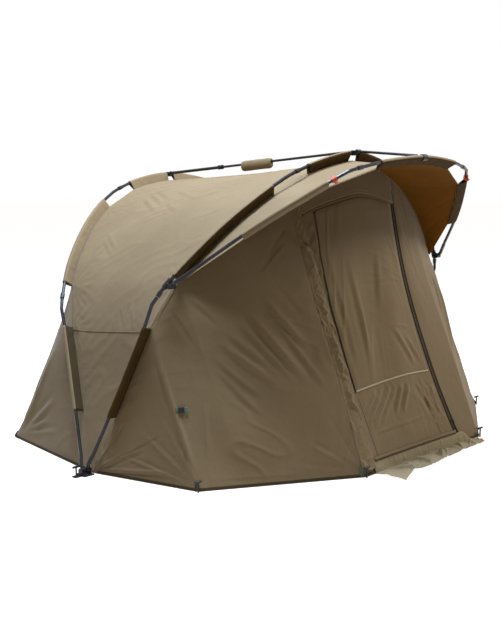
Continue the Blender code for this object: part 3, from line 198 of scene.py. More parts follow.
def humps(x, y, seed):
    """The upper half of the same noise, flat between its humps."""
    return np.maximum(0, lattice(x, y, seed))


def rough(x, y, seed, octaves=3):
    total, weight = 0.0, 1.0
    for octave in range(octaves):
        total = total + weight * lattice(x * 2**octave, y * 2**octave, seed + octave)
        weight *= 0.5
    return total / (2 - 2 ** (1 - octaves))


def soften(grid, rounds, down_to=1.0):
    """Rounds off the bends between a panel's columns, but not along its edges."""
    smooth = grid.copy()
    for _ in range(rounds):
        smooth[:, 1:-1] = (smooth[:, :-2] + 2 * smooth[:, 1:-1] + smooth[:, 2:]) / 4
    c, r = shares_of(grid)
    hold = np.minimum(1, np.sin(np.pi * np.minimum(r / down_to, 1)) * 2.2)
    hold = hold * ease(np.minimum(c, 1 - c) / 0.06)
    return lerp(grid, smooth, ease(hold)[..., None])


VALLEY_DEPTH, VALLEY_OFF = 0.55, 1.5


def crease(grid, start, end, width, height, tail):
    """A long fold between two places, with a shallow valley beside its ridge."""
    start, end = np.array(start), np.array(end)
    run = end - start
    t = ((grid - start) @ run) / (run @ run)
    off = grid - (start + np.clip(t, 0, 1)[..., None] * run)
    far = np.linalg.norm(off, axis=-1)
    across = np.cross(facing(grid), run / np.linalg.norm(run))
    far = np.where((off * across).sum(-1) < 0, -far, far) / width
    ends = ease(t / tail) * ease((1 - t) / tail)
    valley = VALLEY_DEPTH * np.exp(-((far - VALLEY_OFF) ** 2))
    return height * ends * (np.exp(-(far**2)) - valley)


def creases(grid, table, flip=1, tail=0.35):
    """Folds from a table; flip turns X over, for the other side of the tent."""
    total = 0.0
    for row in table:
        x0, y0, z0, x1, y1, z1, width, height = (value / 1000 for value in row)
        total = total + crease(grid, (flip * x0, y0, z0), (flip * x1, y1, z1), width, height, tail)
    return total


def pull(grid, row, col, reach, count, height, phase):
    """Small folds that run out from one point of a panel, where its cloth is pulled."""
    u, v = lengths(grid)
    x, y = u - u[row, col], v - v[row, col]
    x = x - (u[:, col] - u[row, col])[:, None]
    far = np.linalg.norm(grid - grid[row, col], axis=-1) / reach
    return height * np.sin(count * np.arctan2(y, x) + phase) * ease(far * 5) * ease(1.1 - far)


def wrinkles(u, v, angle, across, along_it, height, seed):
    """Narrow pulled creases in patches, at an angle to a panel's rows."""
    a = math.radians(angle)
    a, b = u * math.cos(a) + v * math.sin(a), v * math.cos(a) - u * math.sin(a)
    sway = 0.35 * rough(a * along_it * 0.8, b * along_it * 0.8, seed + 31)
    ridge = np.maximum(0, 1 - np.abs(lattice(a * along_it, b * across + sway, seed)) * 3.0)
    patch = ease(0.45 + 1.6 * rough(a * 1.7, b * 1.7, seed + 17, 2))
    return height * ridge**1.4 * patch


def crumple(u, v, table, swell=None):
    """Wrinkles by a table, on a soft swell."""
    total = sum(wrinkles(u, v, *row) for row in table)
    if swell:
        height, across, down, seed = swell
        total = total + height * rough(u * across, v * down, seed)
    return total


def gathers(u, v, height, across, down, seed, reach, both_ends=True):
    """Short folds where a panel's first row is sewn, and its last where it has both ends."""
    fold = height * humps(u * across, v * down, seed)
    return sum(fold * np.exp(-far / reach) for far in (v, v[-1:] - v)[: 1 + both_ends])


# The line of a rib


def smooth_through(points, steps):
    """A centripetal curve through points, with steps pieces to each stretch."""
    ends = [points[0] * 2 - points[1], *points, points[-1] * 2 - points[-2]]
    curve = [points[0]]
    for corners in zip(ends, ends[1:], ends[2:], ends[3:]):
        knots = [0.0]
        for a, b in zip(corners, corners[1:]):
            knots.append(knots[-1] + math.sqrt((b - a).length))
        for step in range(1, steps + 1):
            t = knots[1] + (knots[2] - knots[1]) * step / steps
            level = corners
            for reach in (1, 2, 3):
                spans = zip(knots, knots[reach:]) if reach < 3 else [knots[1:3]]
                level = [
                    a.lerp(b, (t - low) / (high - low))
                    for a, b, (low, high) in zip(level, level[1:], spans)
                ]
            curve.append(level[0])
    return curve


class Arch:
    """A rib's centre line in its own plane, and the frame that the plane lies in."""

    def __init__(self, half_span, rise, shares, frame, sleeves, window):
        half = [Vector((-half_span * u, rise * v, 0)) for u, v in shares]
        whole = half + [Vector((-p.x, p.y, 0)) for p in reversed(half[:-1])]
        self.line = np.array([tuple(p) for p in smooth_through(whole, 40)])
        run = np.linalg.norm(np.diff(self.line, axis=0), axis=1)
        self.at_length = np.concatenate([[0], run.cumsum()])
        self.length = float(self.at_length[-1])
        self.turn = np.array(frame.to_3x3())
        self.origin = np.array(frame.translation)
        self.sleeves = sleeves
        self.stops = [stop for pair in sleeves for stop in pair]
        self.window = window

    def local(self, share):
        return along(np.clip(share, 0, 1) * self.length, self.at_length, self.line)

    def inward(self, share):
        run = unit(self.local(share + self.window) - self.local(share - self.window))
        return np.stack([run[..., 1], -run[..., 0], run[..., 0] * 0], -1)

    def edge(self, share, inset, ahead):
        """Points inset from the line and ahead of the rib's plane."""
        share = np.asarray(share, float)
        local = self.local(share) + self.inward(share) * np.asarray(inset)[..., None]
        local[..., 2] = ahead
        return local @ self.turn.T + self.origin

    def seam(self, half, side, inset, ahead, foot):
        """The canopy's edge: along the sleeves, and taut across the bare pole between them."""
        stops = self.stops
        out = self.edge(half_share(half, side), inset, ahead)
        first = self.edge(half_share(stops[0], side), inset, ahead * CLOSING_SHARE)
        t = np.clip(half / stops[0], 0, 1)[..., None]
        out = np.where(half[..., None] < stops[0] - 1e-9, lerp(foot, first, t), out)
        for start, end in zip(stops[1::2], stops[2::2]):
            low = self.edge(half_share(start, side), inset, ahead)
            high = self.edge(half_share(end, side), inset, ahead)
            t = (half[..., None] - start) / (end - start)
            out = np.where((t > 0) & (t < 1), lerp(low, high, t), out)
        return out


def half_share(half, side):
    return np.where(np.asarray(side) < 0, half / 2, 1 - half / 2)


def halves_of(share):
    """The side that each share of a whole arch is on, and its share of that half."""
    share = np.asarray(share, float)
    return np.where(share < 0.5, -1, 1), 2 * np.where(share < 0.5, share, 1 - share)


def columns(stops, pieces, fine=FINE):
    """Shares of half an arch through the stops, with each stretch in equal pieces."""
    halves = [0.0]
    for start, end, count in zip([0.0, *stops], [*stops, 1.0], pieces):
        if end > start:
            count *= fine
            halves += [start + (end - start) * k / count for k in range(1, count + 1)]
    halves.append(stops[0] - CLOSED_SHARE)
    return sorted(halves)


def both(halves):
    left = np.array(halves)
    half = np.concatenate([left, left[-2::-1]])
    side = np.concatenate([np.full(len(left), -1), np.full(len(left) - 1, 1)])
    return half, side


def ground(x, y):
    """Points on the ground, y counted back from the line of the pivots."""
    x, y = np.broadcast_arrays(np.asarray(x, float), np.asarray(y, float))
    return np.stack([x, PIVOT_Y + y, np.full(x.shape, HEM_LIFT)], -1)


def block_foot(side, y):
    """The hem's end at the pivot block on each side."""
    return ground(side * BLOCK_HEM[0], y)


def rib_frame(origin, angle):
    return Matrix.Translation(origin) @ Matrix.Rotation(angle, 4, "X")


FEET = (0, PIVOT_Y, PIVOT_HEIGHT)
rear = Arch(
    REAR_HALF_SPAN, REAR_RISE, REAR_ARCH_SHARES,
    rib_frame(FEET, math.radians(90) - REAR_LEAN), REAR_SLEEVES, RIB_WINDOW,
)
mid = Arch(
    MID_HALF_SPAN, MID_RISE, MID_ARCH_SHARES,
    rib_frame(FEET, math.radians(90) + MID_LEAN), MID_SLEEVES, RIB_WINDOW,
)
hub_at = mid.edge(half_share(HUB_SHARE, -1), 0.0, HUB_REACH)
hood = Arch(
    abs(hub_at[0]), HOOD_RISE, HOOD_ARCH_SHARES,
    rib_frame((0, hub_at[1], hub_at[2]), math.radians(180) - HOOD_CLIMB),
    HOOD_SLEEVES, HOOD_WINDOW,
)


# Making pieces


def corners_of(index, outward):
    a, b, c, d = index[:-1, :-1], index[:-1, 1:], index[1:, 1:], index[1:, :-1]
    return np.stack([a, b, c, d] if outward > 0 else [d, c, b, a], -1)


def piece(name, grid, looks, outward=-1, thickness=CLOTH, cyclic=False, paint=None):
    """A sheet through a grid of points, with its first look outside.

    paint gives each column of faces the number of its own look, where a sheet has several.
    """
    rows, cols = grid.shape[:2]
    index = np.arange(rows * cols).reshape(rows, cols)
    closed = grid
    if cyclic:
        index = np.concatenate([index, index[:, :1]], 1)
        closed = np.concatenate([grid, grid[:, :1]], 1)
    quads = corners_of(index, outward).reshape(-1, 4)
    mesh = bpy.data.meshes.new(name)
    mesh.from_pydata(grid.reshape(-1, 3).tolist(), [], quads.tolist())
    u, v = lengths(closed)
    corner = corners_of(np.arange(u.size).reshape(u.shape), outward).ravel()
    layer = mesh.uv_layers.new(name="cut")
    layer.data.foreach_set("uv", np.stack([u.ravel()[corner], v.ravel()[corner]], -1).ravel())
    for look in looks:
        mesh.materials.append(look)
    if paint is not None:
        wide = np.asarray(paint, np.int32)[None].repeat(rows - 1, 0)
        mesh.polygons.foreach_set("material_index", np.ascontiguousarray(wide.ravel()))
    mesh.shade_smooth()
    obj = bpy.data.objects.new(name, mesh)
    bpy.context.scene.collection.objects.link(obj)
    if thickness:
        shell = obj.modifiers.new("cloth", "SOLIDIFY")
        shell.thickness = thickness
        shell.offset = 0
        shell.material_offset = len(looks) - 1 if paint is None else 0
    return obj


def area_of(grid):
    a, b = grid[:-1, :-1], grid[:-1, 1:]
    c, d = grid[1:, 1:], grid[1:, :-1]
    one = np.linalg.norm(np.cross(b - a, c - a), axis=2).sum() / 2
    two = np.linalg.norm(np.cross(c - a, d - a), axis=2).sum() / 2
    return float(one + two)


def cut_of(grid):
    """The width, the length and the area of the flat cut that a grid was made from."""
    u, v = lengths(grid)
    width, length, area = float(u[:, -1].max()), float(v[-1].max()), area_of(grid)
    share = max(area / (width * length), 0.3)
    return (width, length), share * width * length


def declare(grid, solid, cut=None):
    """Hides the solid that a sheet stands for, if any, and works out the sheet's own flat cut,
    which it keeps nowhere.
    """
    if solid:
        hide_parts(solid)
    flat, area = cut or cut_of(grid)


def fan(made, ribs, weights):
    """Bakes a piece's transform into its mesh. It spreads nothing between the two ribs; weights,
    each point's share of the turn, is not used.
    """
    start, end = (rib.edge(0.5, 0.0, 0.0) for rib in ribs)
    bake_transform(made)


EDGE_ROUNDING, END_SHARE, AROUND = 0.6, 0.04, 10


def tube(path, normal, size, ribs=None):
    """The rings of a closed strip with a rounded flat section, along a path."""
    width, height, lift = size
    run = unit(np.gradient(path, axis=0))
    across = unit(np.cross(run, normal))
    up = np.cross(across, run)
    turn = np.linspace(0, math.tau, AROUND, endpoint=False)
    x = np.sign(np.cos(turn)) * np.abs(np.cos(turn)) ** EDGE_ROUNDING * width / 2
    y = np.sign(np.sin(turn)) * np.abs(np.sin(turn)) ** EDGE_ROUNDING * height / 2
    centre = (path + up * lift)[:, None]
    swell = 1.0 if ribs is None else ribs[:, None, None]
    rings = centre + (across[:, None] * x[None, :, None] + up[:, None] * y[None, :, None]) * swell
    first, last = (lerp(centre[k], rings[k], END_SHARE)[None] for k in (0, -1))
    return np.concatenate([first, rings, last])


def finer(path, spacing):
    """The same path with its points an even, small distance apart."""
    run = np.concatenate([[0], np.linalg.norm(np.diff(path, axis=0), axis=1).cumsum()])
    return along(np.linspace(0, run[-1], max(3, int(run[-1] / spacing))), run, path)


def strip(name, line, size, look, body, ribs=None):
    """A tape, a seam, a welt or a row of teeth that rides one body; a line has its normals."""
    made = piece(name, tube(*line, size, ribs), [look], thickness=0, cyclic=True)
    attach(made, body)


def beside(grid, outward, reach, last=False):
    """A line in a panel at a distance from its first or last column, and its normals."""
    u, _ = lengths(grid)
    both_ways = np.concatenate([grid, facing(grid) * outward], -1)
    if last:
        u, both_ways = (u[:, -1:] - u)[:, ::-1], both_ways[:, ::-1]
    reach = np.broadcast_to(reach, (grid.shape[0],))
    line = np.array([along(*row) for row in zip(reach, u, both_ways)])
    return line[:, :3], unit(line[:, 3:])


def laid(grid, outward, path):
    """A path moved on to a panel along its nearest point's normal, with the normals."""
    flat, normal = grid.reshape(-1, 3), (facing(grid) * outward).reshape(-1, 3)
    nearest = np.linalg.norm(path[:, None] - flat[None], axis=-1).argmin(1)
    rise = ((flat[nearest] - path) * normal[nearest]).sum(-1)
    jagged = np.concatenate([normal[nearest], rise[:, None]], 1)
    soft = np.ones(5) / 5
    smooth = [np.convolve(np.pad(line, 2, "edge"), soft, "valid") for line in jagged.T]
    up = unit(np.stack(smooth[:3], -1))
    return path + up * smooth[3][:, None], up


# Materials


def shade(colour):
    """A linear colour from the 0 to 255 values of a screen."""
    shares = [c / 255 for c in colour]
    return (*(((c + 0.055) / 1.055) ** 2.4 if c > 0.04045 else c / 12.92 for c in shares), 1)


def fill(tree, node, inputs):
    """Sets or links a node's inputs, by name or number."""
    for key, value in inputs.items():
        if isinstance(value, bpy.types.NodeSocket):
            tree.links.new(value, node.inputs[key])
        else:
            node.inputs[key].default_value = value


def add(tree, kind, inputs=None, **settings):
    made = tree.nodes.new("ShaderNode" + kind)
    for key, value in settings.items():
        setattr(made, key, value)
    fill(tree, made, inputs or {})
    return made


def noise(tree, scale, detail, roughness, stretch=None):
    place = add(tree, "TexCoord").outputs["Object"]
    if stretch:
        place = add(tree, "Mapping", {"Vector": place, "Scale": stretch}).outputs[0]
    inputs = {"Vector": place, "Scale": scale, "Detail": detail, "Roughness": roughness}
    return add(tree, "TexNoise", inputs).outputs["Fac"]


def ramp(tree, source, *stops):
    made = add(tree, "ValToRGB", {"Fac": source})
    elements = made.color_ramp.elements
    while len(elements) < len(stops):
        elements.new(0.5)
    for element, (place, colour) in zip(elements, stops):
        element.position, element.color = place, colour
    return made.outputs["Color"]


def mix(tree, share, a, b, blend="MIX"):
    return add(tree, "Mix", {0: share, 6: a, 7: b}, data_type="RGBA", blend_type=blend).outputs[2]


def material(name):
    made = bpy.data.materials.new(name)
    made.use_nodes = True
    return made, made.node_tree


def finish(tree, values, colour, source, low, high, bumps, distance):
    """The shader's own values, its colour, a roughness that follows a noise, and bumps."""
    worn = add(tree, "MapRange", {"Value": source, "To Min": low, "To Max": high}).outputs[0]
    below = {}
    for height, strength in bumps:
        inputs = {"Height": height, "Strength": strength, "Distance": distance, **below}
        below = {"Normal": add(tree, "Bump", inputs).outputs[0]}
    values = {**values, "Base Color": colour, "Roughness": worn, **below}
    fill(tree, tree.nodes["Principled BSDF"], values)


def cloth_look(name, dark, middle, light, roughness=0.62, sheen=0.14):
    """Woven nylon: faded in patches, a fine weave and small creases."""
    made, tree = material(name)
    patches = noise(tree, 3.1, 5.0, 0.55)
    colour = ramp(tree, patches, (0.25, shade(dark)), (0.52, shade(middle)), (0.80, shade(light)))
    grain = noise(tree, 900.0, 2.0, 0.6)
    fleck = ramp(tree, grain, (0.35, (0.86, 0.86, 0.86, 1)), (0.65, (1.0, 1.0, 1.0, 1)))
    place = add(tree, "TexCoord").outputs["UV"]
    weave = [
        add(
            tree, "TexWave", {"Scale": 0.314 / WEAVE, "Vector": place},
            wave_type="BANDS", bands_direction=direction,
        ).outputs["Fac"]
        for direction in ("X", "Y")
    ]
    bumps = [(noise(tree, 26.0, 5.0, 0.55), 0.30), (mix(tree, 0.5, *weave), 0.10)]
    values = {"Specular IOR Level": 0.14, "Sheen Weight": sheen, "Sheen Roughness": 0.45}
    colour = mix(tree, 0.5, colour, fleck, "MULTIPLY")
    finish(tree, values, colour, patches, roughness - 0.06, roughness + 0.08, bumps, 0.006)
    return made


def metal_look(name, dark, light, roughness, metallic):
    """Coated tube with fine scratches along it and worn patches."""
    made, tree = material(name)
    dark, light = shade(dark), shade(light)
    scratches = noise(tree, 60.0, 6.0, 0.7, (1.0, 1.0, 9.0))
    colour = ramp(tree, scratches, (0.38, dark), (0.70, light))
    worn = ramp(tree, noise(tree, 14.0, 4.0, 0.6), (0.45, dark), (0.72, light))
    values = {"Metallic": metallic, "Specular IOR Level": 0.35}
    colour, low, high = mix(tree, 0.4, colour, worn), roughness - 0.1, roughness + 0.15
    finish(tree, values, colour, scratches, low, high, [(scratches, 0.05)], 0.001)
    return made


def plastic_look(name, dark, light, roughness):
    """Moulded plastic with a fine grain."""
    made, tree = material(name)
    patches, grain = noise(tree, 35.0, 3.0, 0.5), noise(tree, 1500.0, 2.0, 0.5)
    colour = ramp(tree, patches, (0.35, shade(dark)), (0.7, shade(light)))
    values, low, high = {"Specular IOR Level": 0.25}, roughness - 0.07, roughness + 0.1
    finish(tree, values, colour, patches, low, high, [(grain, 0.15)], 0.0008)
    return made


canopy = cloth_look("canopy", (127, 105, 74), (133, 111, 79), (140, 118, 86))
# The panels' inside face: a darker coated tone of its own, deepened to orange as painted backlight,
# the light that shines through the cloth.
lining_and_painted_backlight = cloth_look("lining_and_painted_backlight", (110, 67, 5), (122, 75, 7), (135, 86, 11), 0.85, 0.0)
# Painted shade: a dark brown for the sleeve webs that face away from the light.
shaded = cloth_look("sleeve_shade", (60, 42, 15), (68, 48, 18), (77, 56, 23), 0.8, 0.0)
flap = cloth_look("skirt_cloth", (150, 133, 101), (162, 145, 112), (174, 157, 124))
tape = cloth_look("tape", (64, 52, 34), (72, 59, 39), (81, 67, 45), 0.8, 0.05)
seamed = cloth_look("door_seam", (86, 70, 46), (93, 77, 52), (101, 84, 58))
# Painted shade: a darker brown for the web of the rear leg sleeves, where shade falls between the
# sleeve and the roof.
web_painted_shade = cloth_look("web", (60, 47, 28), (68, 54, 33), (76, 61, 38), 0.8, 0.0)
# Painted highlight: the window's foot piping is drawn pale where light catches it; the same piping
# down the window's left edge takes the dark tape look as painted shade.
pale = cloth_look("piping", (184, 170, 142), (195, 181, 153), (206, 192, 164))
# Painted shadow: a near-black tape look for the right zip's tapes, where the wing's edge shades
# them, and for the dark line under the door's foot.
painted_shadow_tape = cloth_look("zip_tape", (34, 26, 15), (40, 31, 19), (47, 37, 23), 0.85, 0.0)
teeth = plastic_look("zip_teeth", (14, 11, 7), (24, 19, 13), 0.6)
pole = metal_look("pole", (26, 23, 25), (62, 58, 60), 0.30, 0.45)
steel = metal_look("peg_steel", (16, 15, 15), (38, 36, 36), 0.40, 0.25)
black = plastic_look("black_plastic", (16, 15, 16), (32, 31, 32), 0.42)
orange = plastic_look("orange_plastic", (196, 78, 40), (218, 98, 58), 0.4)
green = cloth_look("webbing", (90, 96, 68), (101, 107, 78), (113, 119, 90))

for name, obj in frame["nodes"].items():
    if "rib" in name or name in ("front_bar", "rear_bar_inner", "rear_bar_outer"):
        look = pole
    elif "peg" in name:
        look = steel
    elif "clip" in name:
        look = orange
    else:
        look = black
    obj.data.materials.clear()
    obj.data.materials.append(look)


def panel(name, grid, body, solid, held, rests_on, slot="canopy_cloth", **build):
    """A sheet of cloth that rides one body and stands for one solid."""
    build.setdefault("looks", [canopy, lining_and_painted_backlight])
    made = piece(name, grid, **build)
    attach(made, body)
    declare(grid, solid)


# The roof between the rear rib and the middle rib

# Wrinkles: angle, counts across and along, height, seed
ROOF_WRINKLES = ((62, 20, 4.0, 0.0026, 5), (-48, 24, 4.4, 0.0018, 8))
# Swells: height, counts across and down, seed; gathers: the same and their reach
ROOF_SWELL, ROOF_GATHERS = (0.0018, 5, 3, 11), (0.0034, 42, 5, 14, 0.05)
# Creases: X, Y, Z of both ends, width and height, in millimetres
ROOF_CREASES = (
    (300, 700, 1210, 500, 350, 1150, 12, 4.2), (360, 680, 1200, 540, 370, 1130, 10, 3.8),
    (420, 660, 1180, 580, 400, 1110, 11, 4), (340, 500, 1210, 480, 220, 1180, 10, 3.4),
    (440, 500, 1170, 580, 260, 1120, 10, 3.2), (700, 620, 1020, 800, 450, 940, 9, 3.4),
    (740, 600, 980, 840, 420, 900, 9, 3.6), (800, 620, 900, 880, 440, 840, 9, 3),
    (1000, 130, 750, 1050, 50, 620, 10, 4.4), (990, 200, 720, 1050, 100, 610, 9, 4),
    (980, 260, 720, 1050, 190, 600, 9, 3.4),
)
PULL_REACH, PULL_REACH_STEP, PULL_RISE = 0.16, 0.03, 0.0026
SIDE_SEAM, SIDE_SEAM_DRIFTS = 0.137, (-0.003, 0.003)


def roof_grid(rows=130):
    back_half, side = both(columns(rear.stops, RIB_PIECES))
    front_half, _ = both(columns(mid.stops, RIB_PIECES))
    foot = block_foot(side, BLOCK_HEM[1] - FOOT_SPREAD)
    back = rear.seam(back_half, side, INSET, SEAM_STAND_OFF, foot)
    foot = block_foot(side, FOOT_SPREAD - BLOCK_HEM[1])
    front = mid.seam(front_half, side, INSET, -SEAM_STAND_OFF, foot)
    grid = ruled(back, front, rows)
    return push(grid, ROOF_DIP * calm(*shares_of(grid)))


roof = soften(roof_grid(), 60)
u, v = lengths(roof)
c, r = shares_of(roof)
height = crumple(u, v, ROOF_WRINKLES, ROOF_SWELL)
roof_rows, roof_cols = roof.shape[0] - 1, roof.shape[1] - 1
for arch, row, count in ((rear, 0, 17), (mid, roof_rows, 15)):
    halves = np.array(columns(arch.stops, RIB_PIECES))
    for k, stop in enumerate(arch.stops[1:-1]):
        col, reach = int(np.abs(halves - stop).argmin()), PULL_REACH + PULL_REACH_STEP * (k % 2)
        for at in (col, roof_cols - col):
            height += pull(roof, row, at, reach, count, PULL_RISE, k)
height += sum(creases(roof, ROOF_CREASES, flip) for flip in (-1, 1))
height += gathers(u, v, *ROOF_GATHERS)
roof = push(roof, -height * np.minimum(calm(c, r) ** 0.5 * 2, 1))
made = piece("roof_canopy", roof, [canopy, lining_and_painted_backlight])
fan(made, (rear, mid), ease(r))
declare(
    roof, "roof_panel",
)

for side, hand in SIDES:
    col = round(roof_cols * (SIDE_SEAM if side < 0 else 1 - SIDE_SEAM))
    for k, drift in enumerate(SIDE_SEAM_DRIFTS):
        grid = tube(roof[:, col] + UP * drift, -facing(roof)[:, col], ROOF_SEAM)
        name = f"roof_side_seam_{hand}_{k + 1}"
        made = piece(name, grid, [canopy], thickness=0, cyclic=True)
        turn = ease(np.pad(np.linspace(0, 1, roof_rows + 1), 1, "edge"))
        fan(made, (rear, mid), turn[:, None].repeat(AROUND, 1))


# The rear wall

WALL_WRINKLES = ((-62, 18, 3.4, 0.0034, 21), (58, 18, 3.2, 0.0034, 26))
WALL_SWELL, WALL_GATHERS, WALL_TAIL = (0.0026, 4, 3, 29), (0.0040, 40, 4, 23, 0.07), 0.25
WALL_CREASES = (
    (1075, 870, 20, 1030, 620, 500, 20, 7.5), (1075, 870, 20, 1090, 560, 260, 16, 6.9),
    (1075, 870, 20, 1100, 600, 150, 14, 6.3), (1075, 870, 20, 1000, 740, 480, 18, 5.7),
    (1075, 870, 20, 1120, 480, 120, 12, 5.1), (1075, 870, 20, 800, 880, 400, 22, 4.5),
    (1075, 870, 20, 720, 920, 180, 18, 3.9),
)


def rear_foot(half, side):
    corner = ground(side * REAR_CORNER[0], REAR_CORNER[1])
    start = block_foot(side, BLOCK_HEM[1] + FOOT_SPREAD)
    middle = ground(0, REAR_REACH - CLOTH / 2)
    near = lerp(start, corner, np.clip(half / REAR_CORNER_SHARE, 0, 1)[:, None])
    far = np.clip((half - REAR_CORNER_SHARE) / (1 - REAR_CORNER_SHARE), 0, 1) ** 1.5
    wall = lerp(corner, middle, far[:, None])
    return np.where((half <= REAR_CORNER_SHARE)[:, None], near, wall)


def rear_grid(rows=130):
    halves = columns(rear.stops, RIB_PIECES)
    nearest = min(range(len(halves)), key=lambda k: abs(halves[k] - REAR_CORNER_SHARE))
    halves[nearest] = REAR_CORNER_SHARE
    half, side = both(halves)
    foot = block_foot(side, BLOCK_HEM[1] + FOOT_SPREAD)
    foot[:, 2] += 2 * HEM_LIFT
    top = rear.seam(half, side, INSET, -WALL_STAND_OFF, foot)
    return ruled(top, rear_foot(half, side), rows)


wall = soften(rear_grid(), 24, 0.6)
c, r = shares_of(wall)
slant = np.sin(math.tau * (3 * np.abs(c - 0.5) * 2 + 0.6 * r))
wall = push(wall, REAR_FOLD * calm(c, r) * slant)
u, v = lengths(wall)
height = crumple(u, v, WALL_WRINKLES, WALL_SWELL) + gathers(u, v, *WALL_GATHERS, both_ends=False)
height += sum(creases(wall, WALL_CREASES, flip, WALL_TAIL) for flip in (-1, 1))
wall = push(wall, height * np.minimum(calm(c, r) * 2.5, 1))
panel(
    "rear_canopy", wall, "base", "rear_wall", "stretched",
    ["rear_rib_crown", "pivot_block_left", "pivot_block_right"], outward=1,
)


# The hood between the middle rib and the hood rib

HOOD_WRINKLES = ((-38, 22, 4.4, 0.0024, 31), (40, 24, 4.4, 0.0020, 36))
HOOD_SWELL, HOOD_GATHERS = (0.0020, 6, 5, 33), (0.0030, 42, 5, 38, 0.045)


def hood_grid(rows=70):
    low = mid.sleeves[1][0]
    half, side = both(columns(hood.stops, HOOD_PIECES, FINE_HOOD))
    back = mid.seam(low + (1 - low) * half, side, INSET, SEAM_STAND_OFF, 0.0)
    corner = mid.edge(half_share(low, side), INSET, SEAM_STAND_OFF + 4 * CLOTH)
    tip = hood.seam(half, side, INSET, -HOOD_STAND_OFF, corner)
    grid = ruled(back, tip, rows)
    return push(grid, ROOF_DIP * calm(*shares_of(grid)) / 2)


peak = soften(hood_grid(), 40)
c, r = shares_of(peak)
u, v = lengths(peak)
height = crumple(u, v, HOOD_WRINKLES, HOOD_SWELL) + gathers(u, v, *HOOD_GATHERS)
peak = push(peak, -height * np.minimum(calm(c, r) * 2, 1))
made = piece("hood_canopy", peak, [canopy, lining_and_painted_backlight])
fan(made, (mid, hood), ease(r))
declare(
    peak, "hood_panel"
)


# The front wall


class Front:
    """Straight lines from the middle rib down to the hem."""

    inset = SLEEVE_WEB + FRONT_DROP / 4

    def top(self, share):
        side, half = halves_of(share)
        foot = block_foot(side, -BLOCK_HEM[1] - FOOT_SPREAD)
        foot[..., 2] += 2 * HEM_LIFT
        leg_top, next_low = mid.sleeves[0][1], mid.sleeves[1][0]
        leg = mid.seam(half, side, INSET, SEAM_STAND_OFF, foot)
        low = mid.edge(half_share(leg_top, side), INSET, SEAM_STAND_OFF)
        high = mid.edge(half_share(next_low, side), self.inset, 0)
        t = ((half - leg_top) / (next_low - leg_top))[..., None]
        rest = mid.seam(half, side, self.inset, 0, foot)
        return np.where(t <= 0, leg, np.where(t < 1, lerp(low, high, t), rest))

    def foot(self, share):
        side, half = halves_of(share)
        stops = (0, GUSSET_SHARE, DOORPOST_SHARE, 1)
        corners = (
            block_foot(side, -BLOCK_HEM[1] - FOOT_SPREAD),
            ground(side * SHOULDER_PEG[0], -SHOULDER_PEG[1]),
            ground(side * DOOR_PEG[0], -DOOR_PEG[1]),
            ground(side * 0, -DOOR_PEG[1]),
        )
        out = corners[0]
        for k in range(3):
            t = ((half - stops[k]) / (stops[k + 1] - stops[k]))[..., None]
            out = np.where(t > 0, lerp(corners[k], corners[k + 1], np.clip(t, 0, 1)), out)
        return out

    def at(self, share, drop):
        return lerp(self.top(share), self.foot(share), np.asarray(drop, float)[..., None])

    def outward(self, share, drop):
        small = RIB_WINDOW / 4
        across = self.at(share + small, drop) - self.at(share - small, drop)
        return unit(np.cross(self.foot(share) - self.top(share), across))

    def share_at(self, x, drop):
        x, drop = np.broadcast_arrays(np.asarray(x, float), np.asarray(drop, float))
        low, high = np.full(x.shape, 0.2), np.full(x.shape, 0.8)
        for _ in range(40):
            middle = (low + high) / 2
            less = self.at(middle, drop)[..., 0] < x
            low, high = np.where(less, middle, low), np.where(less, high, middle)
        return (low + high) / 2

    def drop_at(self, share, height):
        top, foot = self.top(share), self.foot(share)
        return (top[..., 2] - height) / (top[..., 2] - foot[..., 2])


front = Front()
DOOR_TOP = float(front.drop_at(0.5, front.top(0.5)[2] - DOOR_TOP_DROP))
DOOR_FOOT = float(front.drop_at(0.5, DOOR_FOOT_HEIGHT))


def door_right(drop):
    above, below = DOOR_WAIST_SHARE - DOOR_TOP_SHARE, 1 - DOOR_WAIST_SHARE
    span = np.where(drop > DOOR_WAIST_SHARE, below, above)
    return DOOR_RIGHT_WAIST + DOOR_RIGHT_FLARE * ((drop - DOOR_WAIST_SHARE) / span) ** 2


def wing_grid(side, rows=170, gusset=46, body=120):
    drop = np.linspace(0, 1, rows + 1)
    if side < 0:
        last = front.share_at(-DOOR_LEFT - DOOR_GAP, drop)
    else:
        last = 1 - front.share_at(door_right(drop) + DOOR_GAP, drop)
    turn = GUSSET_SHARE / 2
    near = np.linspace(0, turn, gusset + 1)[None, :].repeat(rows + 1, 0)
    far = turn + (last[:, None] - turn) * np.linspace(0, 1, body + 1)[None, 1:]
    share = np.concatenate([near, far], 1)
    if side > 0:
        share = 1 - share[:, ::-1]
    return front.at(share, drop[:, None].repeat(share.shape[1], 1))


